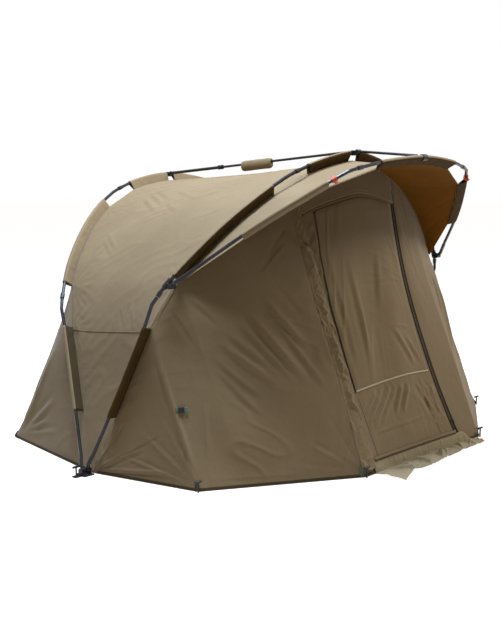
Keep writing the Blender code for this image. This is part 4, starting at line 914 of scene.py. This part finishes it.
WING_WRINKLES = ((52, 20, 3.4, 0.0030, 41), (-64, 22, 3.6, 0.0022, 48))
WING_SWELL = (0.0026, 4, 3, 45)
WING_CREASES = (
    (-780, -330, 750, -586, -574, 387, 17, 9), (-820, -320, 700, -640, -530, 400, 13, 6),
    (-900, -310, 600, -700, -500, 380, 16, 8), (-880, -315, 650, -720, -460, 470, 12, 6),
    (-940, -310, 540, -760, -470, 330, 12, 5), (-700, -360, 800, -540, -530, 530, 16, 7.5),
    (-740, -350, 790, -600, -500, 560, 11, 4.5), (-640, -440, 640, -520, -620, 360, 13, 5),
    (-640, -380, 880, -520, -500, 680, 13, 4.5), (-960, -330, 500, -780, -480, 260, 13, 4.5),
    (-995, -322, 360, -1044, -380, 120, 9, 5), (-1077, -80, 615, -1107, -385, 35, 10, 9.5),
    (-1108, -390, 25, -1128, -90, 400, 8, 5.5), (-1108, -390, 22, -1150, -40, 240, 8, 6),
    (-1108, -390, 20, -1180, 30, 100, 7, 5), (-1108, -390, 18, -1123, -180, 320, 7, 4.5),
    (-1220, 138, 20, -1150, -20, 300, 8, 5.5), (-1220, 138, 20, -1150, -130, 150, 9, 6),
    (-1220, 138, 20, -1130, -280, 60, 8, 5), (-1220, 138, 20, -1125, -220, 230, 8, 4.5),
    (-1090, -410, 45, -640, -690, 35, 9, 3.5), (-500, -780, 30, -680, -610, 170, 10, 5),
    (-500, -780, 30, -780, -600, 90, 9, 4.5), (-500, -780, 40, -580, -640, 300, 9, 4.5),
    (-480, -360, 1080, -640, -360, 930, 11, 4.5), (-500, -370, 1020, -680, -350, 860, 10, 4),
    (-960, -190, 800, -860, -300, 640, 10, 5), (-1010, -120, 760, -960, -250, 560, 10, 4.5),
)
SINK_LEFT, SINK_RIGHT, SINK_FROM, SINK_SPAN = 0.0010, 0.0044, 0.42, 0.45
# Folds begin this far from a zip, and reach their full height this much further in
WING_FLAT, WING_RISE, DOOR_FLAT, DOOR_RISE = 0.020, 0.05, 0.018, 0.03


def sink(side, height, reach):
    """How far a doorway's edge lies back to let the zip's slider by, near its top."""
    deep = SINK_LEFT if side < 0 else SINK_RIGHT
    return deep * ease((height - SINK_FROM) / SINK_SPAN) * ease((0.040 - reach) / 0.020)


wings = {}
for side, hand in SIDES:
    grid = wing_grid(side)
    c, r = shares_of(grid)
    inner, door_edge = (c, -1) if side < 0 else (1 - c, 0)
    still = calm(inner, r) * np.clip((inner - 0.4) * 6, 0, 1)
    slant = np.sin(math.tau * (2.2 * inner - 1.6 * r))
    grid = push(grid, WING_FOLD * still * np.maximum(0, 1 - inner) * 3 * slant)
    u, v = lengths(grid)
    if side > 0:
        u = u[:, -1:] - u
    *table, swell = ((*row, seed + side) for *row, seed in (*WING_WRINKLES, WING_SWELL))
    height = crumple(u, v, table, swell) + creases(grid, WING_CREASES, -side)
    edge = np.linalg.norm(grid - grid[:, [door_edge]], axis=-1)
    height *= ease((edge - WING_FLAT) / WING_RISE) * np.minimum(1, np.sin(np.pi * r) * 4)
    height *= ease(inner / 0.03)
    grid = wings[side] = push(grid, sink(side, grid[..., 2], edge) - height)
    panel(
        f"front_canopy_{hand}", grid, "middle_rib", f"front_wing_{hand}", "stretched",
        [f"middle_rib_leg_{hand}", f"middle_rib_shoulder_{hand}", f"pivot_block_{hand}"],
    )


def span_grid(drops, left, right, cols):
    """A grid over the doorway from row to row of drops, between two sides."""
    low, high = front.share_at(left, drops), front.share_at(right, drops)
    share = low[:, None] + (high - low)[:, None] * np.linspace(0, 1, cols + 1)[None]
    return front.at(share, drops[:, None].repeat(cols + 1, 1))


HEADER_FOOT_GAP, HEADER_SIDE_GAP = 0.0012, 0.0008
drops = np.linspace(0, DOOR_TOP - HEADER_FOOT_GAP, 16)
header = span_grid(drops, -DOOR_LEFT - HEADER_SIDE_GAP, door_right(drops) + HEADER_SIDE_GAP, 48)
panel("header_canopy", header, "middle_rib", "door_header", "stretched", ["middle_rib_crown"])


# The door and the cover over its window

DOOR_WRINKLES = ((-68, 24, 4.4, 0.0030, 57), (60, 26, 4.4, 0.0024, 59))
DOOR_CREASES = (
    (-203, -679, 330, -354, -718, 205, 12, 7.5), (-139, -677, 332, -335, -720, 180, 13, 8.5),
    (-92, -680, 332, -270, -722, 185, 11, 6), (-58, -686, 332, -150, -716, 215, 12, 7),
    (-5, -686, 334, -100, -718, 205, 12, 7.5), (-258, -682, 325, -362, -706, 240, 10, 5.5),
    (60, -690, 330, 150, -730, 185, 11, 6), (100, -690, 335, 130, -725, 200, 9, 5),
    (160, -690, 330, 200, -740, 160, 10, 5.5), (-340, -735, 160, 110, -738, 172, 7, 3.5),
)
COVER_WRINKLES = (
    (-76, 18, 2.6, 0.0046, 63), (66, 18, 3.0, 0.0040, 66), (12, 22, 3.6, 0.0018, 68)
)
COVER_CREASES = (
    (-160, -513, 808, 200, -516, 792, 9, -3.5), (-30, -596, 600, 140, -596, 572, 9, -4.5),
    (-30, -590, 610, 100, -660, 390, 14, -6.5), (60, -600, 560, 160, -655, 400, 13, -5),
    (-200, -470, 950, -240, -640, 380, 18, -6), (-310, -450, 900, -330, -640, 380, 15, -5),
    (20, -470, 960, -80, -560, 640, 18, -5),
)
# The pucker beside the door's right zip: its width and height
PUCKER_WIDTH, PUCKER = 0.115, 0.0050
# Cloth bunched left of the window: its rise, and that of its puckers
BUNCH_RISE, BUNCH_PUCKER, COVER_LIFT = 0.0030, 0.0065, CLOTH + 0.0006
# The window's dark left edge: its heights and how far across it lies there
WINDOW_HEIGHTS = (0.341, 0.476, 0.701, 0.941, 1.131)
WINDOW_PLACES = (-0.386, -0.388, -0.384, -0.362, -0.325)


def window_left(height):
    return np.interp(height, WINDOW_HEIGHTS, WINDOW_PLACES)


drops = np.linspace(DOOR_TOP, DOOR_FOOT, 231)
door = span_grid(drops, -DOOR_LEFT + DOOR_GAP, door_right(drops) - DOOR_GAP, 100)
c, r = shares_of(door)
door = push(door, DOOR_FOLD * calm(c, r) * np.sin(math.tau * (2 * c + 0.7 * r)))
u, v = lengths(door)
from_right = u[:, -1:] - u
low = ease((r - 0.70) / 0.08)
height = 0.0016 * low * humps(c * 24, r * 2.0, 51) ** 0.8
height += creases(door, DOOR_CREASES, tail=0.15)
height += 0.0030 * (1 - low) * rough(u * 9, v * 1.6, 53) + crumple(u, v, DOOR_WRINKLES)
gathered = ease((PUCKER_WIDTH - from_right) / 0.02) * ease((r - 0.74) / 0.05)
gathered *= ease((0.97 - r) / 0.03)
height += PUCKER * gathered * humps(v * 40 + u * 5, u * 7, 58)
edge = np.minimum(u, from_right)
height *= ease((edge - DOOR_FLAT) / DOOR_RISE) * np.minimum(1, np.sin(np.pi * r) * 5)
band = window_left(door[..., 2]) - door[..., 0]
bunched = ease((band + 0.004) / 0.012) * ease((u - 0.004) / 0.02) * np.minimum(1, r * 8)
height += bunched * (BUNCH_RISE + BUNCH_PUCKER * humps(v * 34 + u * 20, u * 14, 55))
height -= sink(-1, door[..., 2], u) + sink(1, door[..., 2], from_right)
door_cloth = push(door, -height)
panel("door_canopy", door_cloth, "door", "door_panel", "hung", ["header_canopy"])

cover = door[3 : int((door[:, 0, 2] > WINDOW_FOOT_HEIGHT).sum())]
whole, _ = lengths(cover)
steps = np.linspace(0, 1, 91)
cover = np.stack([
    along(lerp(np.interp(window_left(row[0, 2]), row[:, 0], at), at[-7], steps), at, row)
    for row, at in zip(cover, whole)
])
u, v = lengths(cover)
puff = 0.0028 * (1 + rough(u * 8, v * 1.5, 61)) + crumple(u, v, COVER_WRINKLES)
puff -= creases(cover, COVER_CREASES)
edge = np.minimum(np.minimum(u, u[:, -1:] - u), np.minimum(v, v[-1:] - v))
cover = push(cover, -(COVER_LIFT + np.maximum(puff, 0) * ease((edge + 0.004) / 0.03)))
panel(
    "window_cover_cloth", cover, "door", "window_cover", "hung", ["door_canopy"], "window_cloth",
    looks=[canopy, canopy], thickness=THIN_CLOTH,
)


# The skirt before the doorway

SKIRT_REST, SKIRT_UP, SKIRT_OUT = 0.0015, 8, 36
SKIRT_WRINKLES = ((35, 26, 6, 0.012, 73), (-50, 22, 6, 0.010, 77))
SKIRT_CREASES = (
    # Share along the skirt, how far it slants on the way out, width, height
    (0.10, 0.10, 0.012, 0.017), (0.24, -0.06, 0.016, 0.014), (0.33, 0.03, 0.010, 0.018),
    (0.47, 0.08, 0.015, 0.015), (0.56, -0.05, 0.011, 0.019), (0.68, 0.05, 0.014, 0.014),
    (0.79, -0.04, 0.010, 0.016), (0.88, 0.03, 0.012, 0.012),
)


def skirt_grid(cols=230):
    left, right = (float(front.share_at(x, 1)) for x in (-SKIRT_HALF_WIDTH, SKIRT_HALF_WIDTH))
    t = np.linspace(0, 1, cols + 1)
    share = left + (right - left) * t
    drop = front.drop_at(share, DOOR_FOOT_HEIGHT - 2 * DOOR_GAP)
    sill = front.at(share, drop) + front.outward(share, drop) * SKIRT_STAND_OFF
    reach = FRONT_REACH - DOOR_PEG[1] - SKIRT_STAND_OFF
    edge = np.interp(t * (len(SKIRT_EDGE) - 1), range(len(SKIRT_EDGE)), SKIRT_EDGE)
    hem = front.foot(share) + np.array([0, -SKIRT_STAND_OFF, 0])
    hem[:, 2] = SKIRT_REST
    ends = np.minimum(t, 1 - t) * 2 * SKIRT_HALF_WIDTH
    upright = 0.12 + 0.88 * ease((1 - t) * 2 * SKIRT_HALF_WIDTH / 0.075)
    sill = lerp(hem, sill, upright[:, None])
    rows = []
    for k in range(SKIRT_UP + 1):
        tuck = humps(t * 46, k * 0.25, 75) * ease(ends / 0.03)
        point = lerp(sill, hem, k / SKIRT_UP)
        point[:, 1] -= 0.0045 * tuck * math.sin(math.pi * k / SKIRT_UP)
        rows.append(point)
    for k in range(1, SKIRT_OUT + 1):
        out = k / SKIRT_OUT
        point = hem + np.array([0, -1, 0]) * (reach * edge * out)[:, None]
        wave = 0.010 * (1 + rough(t * 7 + 1.2 * out, out * 1.6, 71))
        wave += crumple(t * 0.81, out * 0.15, SKIRT_WRINKLES)
        for at, slant, width, rise in SKIRT_CREASES:
            wave += rise * np.exp(-(((t - at - slant * out) / width) ** 2))
        point[:, 2] = SKIRT_REST + wave * math.sin(math.pi * out * 0.95) ** 0.7
        rows.append(point)
    return np.stack(rows)


panel(
    "mud_flap", skirt_grid(), "middle_rib", "mud_skirt", "laid",
    ["front_canopy_left", "front_canopy_right"], "skirt_cloth",
    looks=[flap, flap], thickness=0.0016,
)


# The doorway's zips, tapes and seams

ZIP_OFF, TOOTH, TOOTH_SHAPE = 0.0016, 0.0032, (1.0, 0.86, 0.72, 0.86)
TAPE_IN, TAPE_TOP = 0.0105, 1.22


def front_line(xs, heights, spacing=0.012):
    """Points of the front wall from their places across and their heights."""
    x, z = finer(np.stack([xs, heights], -1).astype(float), spacing).T
    share = front.share_at(x, 0.5)
    for _ in range(12):
        drop = front.drop_at(share, z)
        share = front.share_at(x, drop)
    return front.at(share, drop)


def coil(name, path, normal, body, look):
    whole = finer(np.concatenate([path, normal], -1), TOOTH / 4)
    ribs = np.resize(TOOTH_SHAPE, len(whole))
    strip(name, (whole[:, :3], whole[:, 3:]), ZIP_TEETH, look, body, ribs)


zip_drops = np.linspace(DOOR_TOP + 0.001, DOOR_FOOT - 0.0005, 70)
for side, hand in SIDES:
    at, door_edge = (-DOOR_LEFT, -1) if side < 0 else (door_right(zip_drops), 0)
    # The right zip's tapes take the painted-shadow tape look, darker than the left's.
    coil_look, wall_look, door_look = (tape, tape, canopy) if side < 0 else (teeth, *[painted_shadow_tape] * 2)
    for body, where, step in (("middle_rib", "wall", side), ("door", "door", -side)):
        share = front.share_at(at + step * ZIP_OFF, zip_drops)
        path, normal = front.at(share, zip_drops), front.outward(share, zip_drops)
        path = path - normal * sink(side, path[:, 2], 0)[:, None]
        coil(f"zip_teeth_{where}_{hand}", path, normal, body, coil_look)
    wing = wings[side]
    wing = wing[wing[:, door_edge, 2] < TAPE_TOP]
    for body, where, grid, last, look in (
        ("middle_rib", "wall", wing, side < 0, wall_look),
        ("door", "door", door_cloth[1:-1], side > 0, door_look),
    ):
        line = beside(grid, -1, TAPE_IN, last)
        strip(f"zip_tape_{where}_{hand}", line, ZIP_TAPE, look, body)

# A bunched strip of cloth runs down beside the doorway's left zip
STRIP_HEIGHTS = (0.020, 0.231, 0.511, 0.707, 0.880, 1.133, 1.300)
STRIP_WIDTHS = (0.086, 0.074, 0.060, 0.064, 0.058, 0.044, 0.040)
STRIP_ROWS, STRIP_COLUMNS, STRIP_LENGTH, STRIP_CUT = 340, 29, 1.27, (0.14, 1.42)
STRIP_LIFT, STRIP_RISE, STRIP_PUCKER, STRIP_RIPPLE = 0.0016, 0.0078, 0.016, 0.004
SLIDER_HEIGHT, SLIDER_SPAN, SLIDER_ROOM = 1.05, 0.05, 0.0050
wing = wings[-1][5:-3]
width = np.interp(wing[:, -1, 2], STRIP_HEIGHTS, STRIP_WIDTHS)
at_row = np.linspace(0, len(wing) - 1, STRIP_ROWS)
down = at_row / (len(wing) - 1) * STRIP_LENGTH
fade = ease(down / 0.04)
sway = 1.2 * lattice(down * 5, 0.5, 90)
bunch_columns = []
for t in np.linspace(0, 1, STRIP_COLUMNS):
    path, normal = (
        along(at_row, range(len(wing)), line)
        for line in beside(wing, -1, lerp(width, 0.0012, t), last=True)
    )
    slider = np.exp(-(((path[:, 2] - SLIDER_HEIGHT) / SLIDER_SPAN) ** 2))
    clear = STRIP_LIFT + STRIP_RISE * ease((t - 0.10) / 0.5)
    clear = clear + SLIDER_ROOM * slider * ease((t - 0.4) / 0.3)
    pucker = STRIP_PUCKER * humps(down * 38 - t * 2.6 + sway, t * 1.8, 91) ** 1.2
    pucker = pucker + STRIP_RIPPLE * humps(down * 90 + t * 4, t * 4, 92)
    pucker *= math.sin(math.pi * min(1, t * 0.90 + 0.03)) ** 0.8
    bunch_columns.append(path + normal * (clear + pucker * fade)[:, None])
bunch = np.stack(bunch_columns, 1)
made = piece("doorway_strip", bunch, [canopy, canopy], thickness=THIN_CLOTH)
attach(made, "middle_rib")
cut = (STRIP_CUT, area_of(bunch))
declare(bunch, None, cut)

# The window's left edge, dark in the tape look as painted shade, its foot, pale as a painted
# highlight, the door's seams and the header's
heights = np.linspace(1.131, 0.343, 60)
line = laid(door_cloth, -1, front_line(window_left(heights), heights))
strip("window_edge_left", line, WINDOW_EDGE, tape, "door")
strip("window_edge_foot", (cover[-1], -facing(cover)[-1]), WINDOW_FOOT, pale, "door")
for k, (xs, zs) in enumerate((
    ((-0.379, -0.356), (0.320, 0.062)), ((0.108, 0.165), (0.250, 0.062)),
)):
    line = laid(door_cloth, -1, front_line(xs, zs))
    strip(f"door_seam_{k + 1}", line, DOOR_SEAM, seamed, "door")
ARC_PLACES, ARC_HEIGHTS = (-0.385, -0.248, -0.029, 0.10, 0.245), (1.150, 1.185, 1.232, 1.225, 1.175)
xs = np.linspace(ARC_PLACES[0], ARC_PLACES[-1], 40)
line = laid(header, -1, front_line(xs, np.interp(xs, ARC_PLACES, ARC_HEIGHTS)))
strip("header_seam", line, HEADER_SEAM, canopy, "middle_rib")
path, normal = beside(header.transpose(1, 0, 2), 1, 0.006, last=True)
strip("header_binding", (path[1:-1], normal[1:-1]), HEADER_BINDING, canopy, "middle_rib")

# A narrow flap on the door's foot covers the sill's edge
FLAP_RISES = (0.016, 0.008, 0.001, -0.005, -0.010)
FLAP_LIFTS = (0.0016, 0.0026, 0.0056, 0.0060, 0.0060)
sill, _ = beside(door_cloth.transpose(1, 0, 2), 1, 0.0, last=True)
outward = front.outward(front.share_at(sill[:, 0], DOOR_FOOT), DOOR_FOOT)
sill, outward = sill[1:-1], outward[1:-1]
foot_flap = np.stack([
    sill + UP * rise + outward * lift for rise, lift in zip(FLAP_RISES, FLAP_LIFTS)
])
panel(
    "door_foot_flap", foot_flap, "door", None, "stretched", ["door_canopy"],
    looks=[canopy, canopy], thickness=0.0008,
)
# A dark line along the flap: painted shadow of the gap between the door's foot and the skirt.
strip("door_foot_painted_shadow", (foot_flap[2], outward), DOOR_FOOT_SHADOW, painted_shadow_tape, "door")


# Edges, hems, tabs and a buckle

WELT_IN, HEM_UP = 0.002, 0.0085

# Welts, where the panels and the sleeves of one rib are sewn together
for arch, body, prefix, ahead, first, size in (
    (rear, "base", "rear", 0.0, 0.02, RIB_WELT),
    (mid, "middle_rib", "middle", 0.0, 0.02, RIB_WELT),
    (hood, "hood", "hood", -HOOD_STAND_OFF / 2, hood.stops[0], HOOD_WELT),
):
    half = np.unique(np.concatenate([np.linspace(first, 1, 150), np.clip(arch.stops, first, 1)]))
    for side, hand in SIDES:
        foot = block_foot(side, 0)
        path = arch.seam(half, side, INSET + WELT_IN, ahead, foot)
        outer = arch.seam(half, side, 0.0, ahead, foot + arch.turn[:, 1] * 0.05)
        strip(f"{prefix}_welt_{hand}", (path, unit(outer - path)), size, canopy, body)

for name, grid, outward, body in (
    ("rear_hem", wall, 1, "base"),
    ("front_hem_left", wings[-1], -1, "middle_rib"),
    ("front_hem_right", wings[1], -1, "middle_rib"),
):
    path, normal = beside(grid.transpose(1, 0, 2), -outward, HEM_UP, last=True)
    strip(name, (path[2:-2], normal[2:-2]), HEM_TAPE, tape, body)

for name, (x, y), grids, outward, body, look in (
    ("rear_corner_tab", REAR_CORNER, {-1: wall, 1: wall}, 1, "base", tape),
    ("shoulder_tab", (SHOULDER_PEG[0], -SHOULDER_PEG[1]), wings, -1, "middle_rib", tape),
    ("door_tab", (DOOR_PEG[0] + 0.016, -DOOR_PEG[1] + 0.012), wings, -1, "middle_rib", green),
):
    for side, hand in SIDES:
        low = ground(side * x, y)
        points = grids[side].reshape(-1, 3)
        high = points[np.linalg.norm(points - low - UP * 0.05, axis=1).argmin()]
        path = finer(np.stack([high, low + UP * 0.004]), 0.004)
        path, normal = laid(grids[side], outward, path)
        path[:, 2] = np.maximum(path[:, 2], 0.0024)
        strip(f"{name}_{hand}", (path, normal), PEG_TAB, look, body)

for side, hand in SIDES:
    ends = np.array([(side * 1.095, -0.243, 0.321), (side * 1.056, -0.282, 0.321)])
    path, normal = laid(wings[side], -1, finer(ends, 0.003))
    strip(f"tie_tape_{hand}", (path, normal), TIE_TAPE, green, "middle_rib")
    strip(f"tie_buckle_{hand}", (path[4:13], normal[4:13]), TIE_BUCKLE, black, "middle_rib")
    tail = np.stack([path[15] - UP * (k * 0.006) for k in range(6)])
    strip(f"tie_end_{hand}", laid(wings[side], -1, tail), TIE_END, green, "middle_rib")


# Sleeves round the poles

WEB_POINTS, RING_POINTS, SLEEVE_EDGE, SLEEVE_STEP = 10, 15, 0.0011, 0.008


def sleeve_grid(arch, low, high, side, seed):
    """A folded strip round the pole: two flat sides from the seam, and a round back."""
    length = (high - low) / 2 * arch.length
    count = max(8, int(length / SLEEVE_STEP))
    share = half_share(np.linspace(low, high, count + 1), side)
    radius = POLE_RADIUS + SLEEVE_ROOM
    touch = math.acos(radius / SLEEVE_WEB)
    angles = np.linspace(touch, math.tau - touch, RING_POINTS)
    t = np.linspace(0, 1, WEB_POINTS + 1)[:-1]
    flat_inset = lerp(SLEEVE_WEB, radius * math.cos(touch), t)
    flat_ahead = lerp(SLEEVE_EDGE, radius * math.sin(touch), t)
    inset = np.concatenate([flat_inset, radius * np.cos(angles), flat_inset[::-1]])
    ahead = np.concatenate([flat_ahead, radius * np.sin(angles), -flat_ahead[::-1]])
    x = np.linspace(0, length, count + 1)[:, None]
    y = np.arange(len(inset))[None] * 0.004
    loose = np.concatenate([np.sin(math.pi * t), np.zeros(RING_POINTS), np.sin(math.pi * t)])
    pinch = 0.0022 * humps(x * 55 + y * 9, y * 14 + x * 2, seed) - 0.0008
    scale = 1 + 0.0006 * rough(x * 30, y * 60, seed + 5, 2) / radius * (1 - loose)
    points = arch.edge(share[:, None], inset[None] * scale, 0.0)
    lift = ahead[None] * scale - np.sign(ahead)[None] * pinch * loose[None]
    return points + lift[..., None] * arch.turn[:, 2]


def sleeve(name, grid, body, look, painted_shade_columns, solid, rod, outward):
    """A sleeve in the canopy's cloth, with its first columns in a second, darker look that paints
    the shade on its web.
    """
    paint = np.zeros(grid.shape[1] - 1)
    paint[:painted_shade_columns] = 1
    panel(
        name, grid, body, solid, "hung", [rod], "sleeve_cloth",
        looks=[canopy, look], outward=outward, thickness=THIN_CLOTH, paint=paint,
    )


# Painted shade: the web and part of the ring of the middle sleeves and of the right hood sleeve
# take the darker look, where shade falls on them.
for arch, body, prefix, words in (
    (rear, "base", "rear", ("leg", "shoulder", "crown")),
    (mid, "middle_rib", "middle", ("leg", "shoulder", "crown")),
    (hood, "hood", "hood", ("side",)),
):
    for side, hand in SIDES:
        for word, (low, high) in zip(words, arch.sleeves):
            grid = sleeve_grid(arch, low, high, side, 80 + len(word) + side)
            look, dark = shaded, 0
            if prefix == "middle":
                dark = WEB_POINTS + (12 if word == "leg" else 5)
            elif word == "leg":
                look, dark = web_painted_shade, WEB_POINTS + 2
            elif prefix == "hood" and side > 0:
                dark = WEB_POINTS + 8
            solid = f"{prefix}_{word}_sleeve_{hand}"
            rod = f"{prefix}_rib_{word}" + ("" if word == "crown" else f"_{hand}")
            name = f"{prefix}_{word}_sleeve_cloth_{hand}"
            sleeve(name, grid, body, look, dark, solid, rod, -side)

low, high = hood.sleeves[1]
left, right = sleeve_grid(hood, low, high, -1, 95), sleeve_grid(hood, low, high, 1, 96)
crown = np.concatenate([left, right[-2::-1]], 0)
# Painted shade on the crown sleeve's web.
sleeve(
    "hood_crown_sleeve_cloth", crown, "hood", shaded, WEB_POINTS + 4,
    "hood_crown_sleeve", "hood_rib_crown", 1,
)


# The pad round the rear bar

PAD_START, PAD_LENGTH, PAD_HALF_WIDTH, PAD_RISE, PAD_DROP = 0.525, 0.200, 0.015, 0.017, 0.036
PAD_END_SIZES, PAD_RIPPLES, PAD_RIPPLE = (0.30, 0.62), (11, 6.6), 0.05
bar_pin = np.array([0, 0.887203, 1.297517])
bar_run = np.array([0, -0.996081, 0.088447])
bar_up = np.array([0, 0.088447, 0.996081])


def pad_grid(rings=60, around=36):
    t = np.linspace(0, 1, rings + 1)
    turn = np.linspace(0, math.tau, around, endpoint=False)
    swell = 0.80 + 0.20 * np.minimum(1, np.sin(math.pi * np.clip(t, 0.001, 0.999)) * 4.0) ** 0.5
    t = np.pad(t, 2, "edge")
    swell = np.concatenate([PAD_END_SIZES, swell, PAD_END_SIZES[::-1]])
    middle, half = (PAD_RISE - PAD_DROP) / 2, (PAD_RISE + PAD_DROP) / 2
    side = PAD_HALF_WIDTH * np.sin(turn)
    up = middle + half * np.cos(turn)
    ripple = rough(t[:, None] * PAD_RIPPLES[0], turn[None] / math.tau * PAD_RIPPLES[1], 99)
    scale = swell[:, None] * (1 + PAD_RIPPLE * ripple)
    point = bar_pin + bar_run * (PAD_START + PAD_LENGTH * t)[:, None, None]
    point = point + np.array([1, 0, 0]) * (side[None] * scale)[..., None]
    return point + bar_up * ((up[None] - middle * 0.35) * scale + middle * 0.35)[..., None]


made = piece("bar_pad_cloth", pad_grid(), [canopy], thickness=0, cyclic=True)
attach(made, "rear_bar_slide")
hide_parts("bar_pad")


# Floor, light and camera

FLOOR_HALF, FLOOR_HEIGHT, FLOOR_GLOW, SKY_STRENGTH = 30, -0.0005, 0.93, 0.115


def seen_rays(tree):
    """One for rays from the camera, also by a mirror or through a clear body, else nothing."""
    rays = add(tree, "LightPath").outputs
    seen = rays["Is Camera Ray"]
    for kind in ("Is Glossy Ray", "Is Transmission Ray"):
        seen = add(tree, "Math", {0: seen, 1: rays[kind]}, operation="MAXIMUM").outputs[0]
    return seen


def floor():
    """A pale plane that takes soft shade and looks white to the camera."""
    far = (-FLOOR_HALF, FLOOR_HALF)
    corners = np.array([[(x, y, FLOOR_HEIGHT) for x in far] for y in far], float)
    made = piece("floor", corners, [], 1, 0)
    look, tree = material("floor")
    tree.nodes.remove(tree.nodes["Principled BSDF"])
    paper = add(tree, "BsdfDiffuse", {"Color": (0.60, 0.54, 0.46, 1)})
    level = add(tree, "Math", {0: seen_rays(tree), 1: FLOOR_GLOW}, operation="MULTIPLY")
    glow = add(tree, "Emission", {"Color": (1, 1, 1, 1), "Strength": level.outputs[0]})
    total = add(tree, "AddShader", {0: paper.outputs[0], 1: glow.outputs[0]})
    fill(tree, tree.nodes["Material Output"], {"Surface": total.outputs[0]})
    made.data.materials.append(look)


def world():
    """A dim warm sky that looks white to the camera."""
    made = bpy.data.worlds.new("sky")
    bpy.context.scene.world = made
    made.use_nodes = True
    tree = made.node_tree
    dim = tree.nodes["Background"]
    fill(tree, dim, {"Color": (1.0, 0.95, 0.86, 1), "Strength": SKY_STRENGTH})
    white = add(tree, "Background", {"Color": (1, 1, 1, 1), "Strength": 1.0})
    skies = {0: seen_rays(tree), 1: dim.outputs[0], 2: white.outputs[0]}
    sky = add(tree, "MixShader", skies).outputs[0]
    fill(tree, tree.nodes["World Output"], {"Surface": sky})


def lamp(name, place, target, size, power, colour):
    data = bpy.data.lights.new(name, "AREA")
    data.shape = "DISK"
    data.size = size
    data.energy = power
    data.color = colour
    obj = bpy.data.objects.new(name, data)
    obj.location = place
    obj.rotation_euler = (Vector(target) - Vector(place)).to_track_quat("-Z", "Y").to_euler()
    bpy.context.scene.collection.objects.link(obj)


floor()
world()
lamp("above", (-0.8, 0.15, 5.2), (0, 0, 0.6), 2.0, 415, (0.83, 1.02, 1.33))
lamp("front", (3.3, -2.5, 4.3), (0.1, -0.6, 0.3), 1.6, 150, (0.98, 0.99, 0.95))

camera = bpy.data.objects.new("camera", bpy.data.cameras.new("camera"))
camera.location = (-4.244, -3.483, 1.350)
camera.rotation_euler = (math.radians(81.795), 0, math.radians(-48.254))
camera.data.lens = 78.42
camera.data.sensor_fit = "HORIZONTAL"
bpy.context.scene.collection.objects.link(camera)
bpy.context.scene.camera = camera
bpy.context.scene.view_settings.view_transform = "Standard"

bpy.context.view_layer.update()
